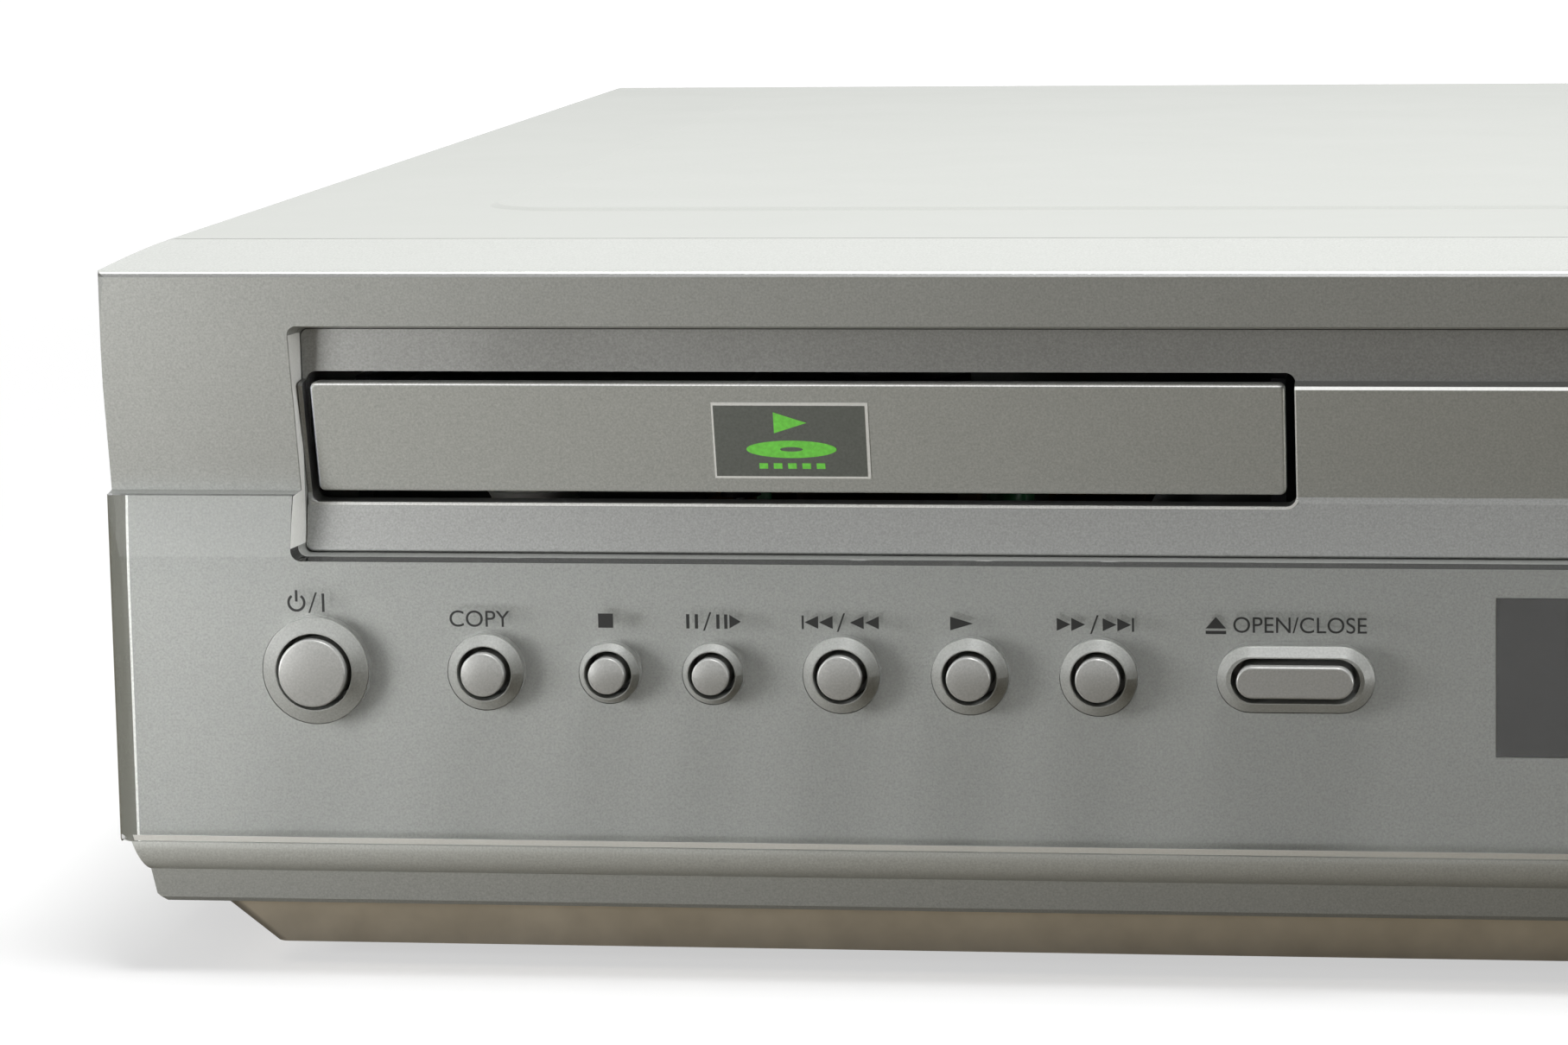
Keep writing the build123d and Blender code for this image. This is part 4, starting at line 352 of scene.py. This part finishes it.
def piece(name, points, faces, material, body, slot):
    """A mesh of points in mm and faces, with its finish, riding on a body."""
    mesh = bpy.data.meshes.new(name)
    mesh.from_pydata((np.asarray(points, float) * MM).tolist(), [], faces)
    mesh.update()
    dress(mesh, material)
    made = put(name, mesh)
    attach(made, body)


def prisms(outlines, face_y, thick):
    """Points and faces of thin plates that stand on a face towards the front: each outline of X and Z
    points, given anticlockwise as seen from the front, is a front face, a back face and a wall."""
    points, faces = [], []
    for outline in outlines:
        start, count = len(points), len(outline)
        for y in (face_y - thick, face_y):
            points += [(x, y, z) for x, z in outline]
        faces.append([start + i for i in range(count)])
        faces.append([start + count + i for i in reversed(range(count))])
        for i in range(count):
            j = (i + 1) % count
            faces.append([start + j, start + i, start + count + i, start + count + j])
    return points, faces


def along_x(profile, ends):
    """Points and faces of a bar along X, between a left and a right end: its profile is a closed row of Y
    and Z points, given anticlockwise as seen from the right."""
    count = len(profile)
    points = [(x, y, z) for x in ends for y, z in profile]
    faces = [list(reversed(range(count))), list(range(count, 2 * count))]
    for i in range(count):
        j = (i + 1) % count
        faces.append([i, j, count + j, count + i])
    return points, faces


def box(left, right, foot, top):
    """Outline of an upright rectangle."""
    return [(left, foot), (right, foot), (right, top), (left, top)]


def bar(x, z, width, height):
    """Outline of an upright rectangle about its centre."""
    return box(x - width / 2, x + width / 2, z - height / 2, z + height / 2)


def arrow(x, z, width, height, way=1):
    """Outline of a triangle that points to the right, or with way -1 to the left."""
    w, h = way * width / 2, height / 2
    outline = [(x - w, z - h), (x + w, z), (x - w, z + h)]
    return outline if way > 0 else outline[::-1]


def slash(x, z, height):
    """Outline of the stroke between two signs."""
    lean, w = height * 0.18, 0.13
    return [(x - lean - w, z - height / 2), (x - lean + w, z - height / 2),
            (x + lean + w, z + height / 2), (x + lean - w, z + height / 2)]


def ring(x, z, inner, outer, start=0, end=360, steps=48):
    """Outlines of short bars that make a ring, or a part of one between two angles in degrees. Its inner and
    its outer edge each have a half width and a half height."""
    angles = np.radians(np.linspace(start, end, steps + 1))
    return [[(x + inner[0] * cos(a), z + inner[1] * sin(a)), (x + outer[0] * cos(a), z + outer[1] * sin(a)),
             (x + outer[0] * cos(b), z + outer[1] * sin(b)), (x + inner[0] * cos(b), z + inner[1] * sin(b))]
            for a, b in zip(angles[:-1], angles[1:])]


def arc_band(x, z, radius, width, start, end, steps=28):
    """Outlines of an arc drawn with a pen's width, from one angle to another in degrees."""
    inner, outer = radius - width / 2, radius + width / 2
    return ring(x, z, (inner, inner), (outer, outer), start, end, steps)


# Signs over the disc buttons on the left and over the tape buttons on the right
# Power: a ring that is open at its top, with a stroke in the gap, then a slash and a stroke
POWER_X, PEN = -187.7, 0.36
signs = arc_band(POWER_X, POWER_LABEL_Z, 1.12, PEN, 125, 415)
signs.append(bar(POWER_X, POWER_LABEL_Z + 0.95, PEN, 1.6))
signs.append(slash(POWER_X + 2.3, POWER_LABEL_Z, 2.9))
signs.append(bar(POWER_X + 3.8, POWER_LABEL_Z, PEN, 2.6))
# Stop
for x in (-144.1, 100.5):
    signs.append(bar(x, LABEL_Z, 2.1, 2.0))
# Pause, and a step on: a second pause with an arrow
for x in (-132.6, -131.4, -128.4, -127.3):
    signs.append(bar(x, LABEL_Z, 0.45, 2.0))
signs.append(arrow(-126.0, LABEL_Z, 1.6, 1.9))
# Previous and back, rewind
for x in (-115.4, -113.4, -109.1, -107.0, 117.4, 119.4):
    signs.append(arrow(x, LABEL_Z, 1.9, 1.8, way=-1))
# Play
for x, width in ((-94.6, 3.2), (136.2, 3.0)):
    signs.append(arrow(x, LABEL_Z, width, 1.9))
# Next and on, fast forward
for x in (-80.6, -78.6, -74.3, -72.3, 153.0, 155.0):
    signs.append(arrow(x, LABEL_Z, 1.9, 1.8))
# The end strokes of previous and next, and the slashes between two signs of a button
for x in (-116.6, -71.1):
    signs.append(bar(x, LABEL_Z, 0.3, 1.9))
for x in (-129.9, -111.3, -76.4):
    signs.append(slash(x, LABEL_Z, 2.6))
# Open and close, eject: an arrow that points up from a stroke
for x in (-59.8, 172.0):
    signs.append([(x - 1.4, LABEL_Z - 0.4), (x + 1.4, LABEL_Z - 0.4), (x, LABEL_Z + 1.2)])
    signs.append(bar(x, LABEL_Z - 0.95, 2.8, 0.45))
# Record: a dot
signs.append([(86.0 + 1.1 * cos(a), LABEL_Z + 1.1 * sin(a)) for a in np.radians(range(0, 360, 15))])
piece("button_signs", *prisms(signs, PLATE_FACE_Y, INK_THICK), dark_ink, "case", "black_plastic")


def words(name, text, x, cap_height):
    """Plain printed words in the row of signs, centred on X: a text object turned to a mesh."""
    curve = bpy.data.curves.new(name, "FONT")
    curve.body = text
    curve.align_x, curve.align_y = "CENTER", "CENTER"
    # A capital is 0.72 of the font's size
    curve.size = cap_height / 0.72 * MM
    curve.extrude = INK_THICK / 2 * MM
    flat = bpy.data.objects.new(name, curve)
    mesh = bpy.data.meshes.new_from_object(flat)
    bpy.data.objects.remove(flat)
    mesh.transform(Matrix.Translation((x * MM, (PLATE_FACE_Y - INK_THICK / 2) * MM, LABEL_Z * MM))
                   @ Matrix.Rotation(radians(90), 4, "X"))
    dress(mesh, dark_ink)
    made = put(name, mesh)
    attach(made, "case")


words("copy_label", "COPY", -161.9, cap_height=2.35)
words("open_close_label", "OPEN/CLOSE", -48.4, cap_height=2.25)
words("eject_label", "EJECT", 180.4, cap_height=2.25)

# Painted highlights: light lines on the top edge of the band, on the surround and on the flap, and at the
# corner of the mouth
band_edge = [(BAND_TOP_Y - 0.12, BAND_TOP - 0.42), (BAND_TOP_Y + 0.30, BAND_TOP - 0.42),
             (BAND_TOP_Y + 0.30, BAND_TOP + 0.02), (BAND_TOP_Y + 0.12, BAND_TOP + 0.02)]
surround_ends = (MOUTH_RIGHT + 0.05, FLAP_LEFT - FLAP_GAP)
flap_ends = (FLAP_LEFT + 0.1, FLAP_RIGHT - 0.1)
piece("band_edge", *along_x(band_edge, surround_ends), painted_highlight_bead, "case", "silver_trim")
piece("flap_edge", *along_x(band_edge, flap_ends), painted_highlight_bead, "flap", "silver_trim")
corner = arc_band(MOUTH_RIGHT - MOUTH_CORNER, MOUTH_FOOT + MOUTH_CORNER, MOUTH_CORNER + LIP / 2, LIP,
                  -90, -15, steps=8)
piece("mouth_corner", *prisms(corner, LIP_Y - 0.02, 0.04), frosted_and_painted_light_edge, "case", "silver_trim")


def wall_x(y):
    """X of the recess' right wall, which closes in by the flare over its depth."""
    return RECESS_HALF - FLARE * (y - RECESS_FRONT_Y) / FLARE_DEPTH


# The recess' end walls, paler than the front, and the sawn edges of the plate in them: a thin white skin
# stands on each wall, as painted light where it covers the walls, and as frosted acrylic with painted light
# where it covers the plate's edges. Its front edge follows the leaning panel, then the plate
wall_outline = [(-172.8, WALL_TOP), (-169.5, PLATE_TOP + 0.3), (-172.6, PLATE_TOP - 0.1),
                (-173.6, PLATE_TOP - 4.0), (-174.2, WALL_FOOT), (WALL_BACK_Y, WALL_FOOT),
                (WALL_BACK_Y, WALL_TOP)]
SKIN_BACK, SKIN_FRONT = 0.02, 0.07
for name, way, ends in (("recess_wall_left", -1, (SKIN_BACK, SKIN_FRONT)),
                        ("recess_wall_right", 1, (-SKIN_FRONT, -SKIN_BACK))):
    flat, faces = along_x(wall_outline, ends)
    points = [(way * wall_x(y) + off, y, z) for off, y, z in flat]
    piece(name, points, faces, frosted_and_painted_light_edge, "case", "silver_trim")

# The bevelled foot of the plate, which looks frosted: white as painted light, for the bevel looks lit
foot_edge = [(PLATE_FACE_Y + 0.75, PLATE_FOOT + 0.15), (PLATE_FACE_Y + 1.1, PLATE_FOOT + 0.15),
             (PLATE_FACE_Y + 0.4, PLATE_FOOT + 1.1), (PLATE_FACE_Y + 0.05, PLATE_FOOT + 1.1)]
piece("plate_foot_edge", *along_x(foot_edge, (bevel_x, -bevel_x)), frosted_and_painted_light_edge, "case", "silver_trim")


def door_plate(name, outlines, low, high, material):
    """Thin plates that lean with the tray door, from a low to a high distance in front of its face."""
    flat, faces = prisms(outlines, low, low - high)
    slope = (BAND_FOOT_Y - BAND_TOP_Y) / (BAND_TOP - BAND_FOOT)
    points = [(x, BAND_TOP_Y + (BAND_TOP - z) * slope - proud, z) for x, proud, z in flat]
    piece(name, points, faces, material, "tray", "silver_trim")


# Badge on the tray door: foil inside its bright cut edge, with the sign of a disc that lies flat, an arrow
# over it and five short strokes under it
middle = (BADGE_LEFT + BADGE_RIGHT) / 2
disc_sign = ring(middle, 74.4, inner=(1.6, 0.32), outer=(6.3, 1.25))
disc_sign.append(arrow(middle, 78.2, 4.6, 3.0))
for x in (-4, -2, 0, 2, 4):
    disc_sign.append(bar(middle + x, 72.0, 1.2, 0.8))
rim = box(BADGE_LEFT, BADGE_RIGHT, BADGE_FOOT, BADGE_TOP)
foil = box(BADGE_LEFT + 0.25, BADGE_RIGHT - 0.45, BADGE_FOOT + 0.3, BADGE_TOP - 0.45)
door_plate("badge_rim", [rim], -0.02, 0.10, bright_foil)
door_plate("badge_foil", [foil], 0.0, 0.14, dark_foil)
door_plate("badge_sign", disc_sign, 0.1, 0.18, green_foil)

# Floor: white with a soft shadow to the eye. To the object it is a table of warm middle grey, as the
# photograph's pan and sill show it. From here on lengths are in metres
FLOOR_REACH = 30.0
floor_mesh = bpy.data.meshes.new("floor")
floor_outline = box(-FLOOR_REACH, FLOOR_REACH, -FLOOR_REACH, FLOOR_REACH)
floor_mesh.from_pydata([(x, y, 0) for x, y in floor_outline], [], [(0, 1, 2, 3)])
floor_paint = bpy.data.materials.new("pale_floor")
floor_paint.use_nodes = True
paint = floor_paint.node_tree
paint.nodes.remove(paint.nodes["Principled BSDF"])
seen = any_ray(paint, "Is Camera Ray", "Is Transmission Ray")
matt = add(paint, "BsdfDiffuse", {"Color": linear("#645E52")})
white = add(paint, "BsdfDiffuse", {"Color": linear("#A0A0A0")})
reach = add(paint, "VectorMath", {0: add(paint, "TexCoord").outputs["Object"]}, operation="LENGTH")
fade = add(paint, "MapRange", {"Value": reach.outputs["Value"], "From Min": 0.35, "From Max": 1.6,
                               "To Min": 0.56, "To Max": 1.0})
glow = add(paint, "Emission", {"Color": (1, 1, 1, 1), "Strength": fade.outputs["Result"]})
shown = add(paint, "AddShader", {0: white.outputs["BSDF"], 1: glow.outputs["Emission"]})
either = add(paint, "MixShader", {0: seen, 1: matt.outputs["BSDF"], 2: shown.outputs["Shader"]})
paint.links.new(either.outputs["Shader"], paint.nodes["Material Output"].inputs["Surface"])
dress(floor_mesh, floor_paint)
put("floor", floor_mesh)

# World: plain white to the eye, in metal and through glass. Its light on the object comes from the left and
# from behind
world = bpy.data.worlds.new("studio")
bpy.context.scene.world = world
world.use_nodes = True
sky = world.node_tree
seen = any_ray(sky, "Is Camera Ray", "Is Glossy Ray", "Is Transmission Ray")
way = add(sky, "SeparateXYZ", {0: add(sky, "TexCoord").outputs["Generated"]})
side = add(sky, "MapRange", {"Value": way.outputs["X"], "From Min": -0.8, "From Max": 0.1,
                             "To Min": 0.06, "To Max": 0.01}, interpolation_type="SMOOTHSTEP")
room = add(sky, "MapRange", {"Value": way.outputs["Y"], "From Min": -0.05, "From Max": 0.5,
                             "To Min": side.outputs["Result"], "To Max": 0.6},
           interpolation_type="SMOOTHSTEP")
strength = add(sky, "MapRange", {"Value": seen, "To Min": room.outputs["Result"], "To Max": 1.0})
sky.links.new(strength.outputs["Result"], sky.nodes["Background"].inputs["Strength"])
sky.nodes["Background"].inputs["Color"].default_value = (1, 1, 1, 1)


def lamp(name, place, target, size, power):
    """A square area lamp that faces a target, in metres and watts."""
    light = bpy.data.lights.new(name, "AREA")
    light.size = size
    light.energy = power
    made = put(name, light)
    made.location = place
    made.rotation_euler = (Vector(target) - Vector(place)).to_track_quat("-Z", "Y").to_euler()
    made.visible_camera = False


# A near window at the left, the ceiling, and a far window at the right that only grazes the front
lamp("window_left", (-0.42, -0.41, 0.07), (-0.15, -0.17, 0.05), size=0.16, power=1.12)
lamp("ceiling", (0.05, -0.20, 1.25), (0.0, -0.1, 0.1), size=0.5, power=21.4)
lamp("window_right", (2.2, -0.25, 0.12), (-0.15, -0.17, 0.08), size=0.3, power=26.0)

# Camera at the photograph's place: its lens is shifted as far as the other views allow, and it is turned by
# the rest, in degrees. The sensor's width is in mm
CAMERA_PLACE = (-0.0108, -0.7957, 0.1666)
TURN, TILT, ROLL = 6.44, -7.56, -0.71
SENSOR_WIDTH, LENS_PIXELS, FRAME_PIXELS = 36.0, 5392.0, 1815.0
camera_data = bpy.data.cameras.new("camera")
camera_data.sensor_width = SENSOR_WIDTH
camera_data.lens = SENSOR_WIDTH * LENS_PIXELS / FRAME_PIXELS
camera_data.shift_x, camera_data.shift_y = -0.175, -0.085
camera_data.clip_start, camera_data.clip_end = 0.01, 100.0
camera = put("camera", camera_data)
camera.matrix_world = (
    Matrix.Translation(CAMERA_PLACE)
    @ Matrix.Rotation(radians(TURN), 4, "Z")
    @ Matrix.Rotation(radians(90 + TILT), 4, "X")
    @ Matrix.Rotation(radians(ROLL), 4, "Z")
)
bpy.context.scene.camera = camera
bpy.context.scene.view_settings.view_transform = "Standard"
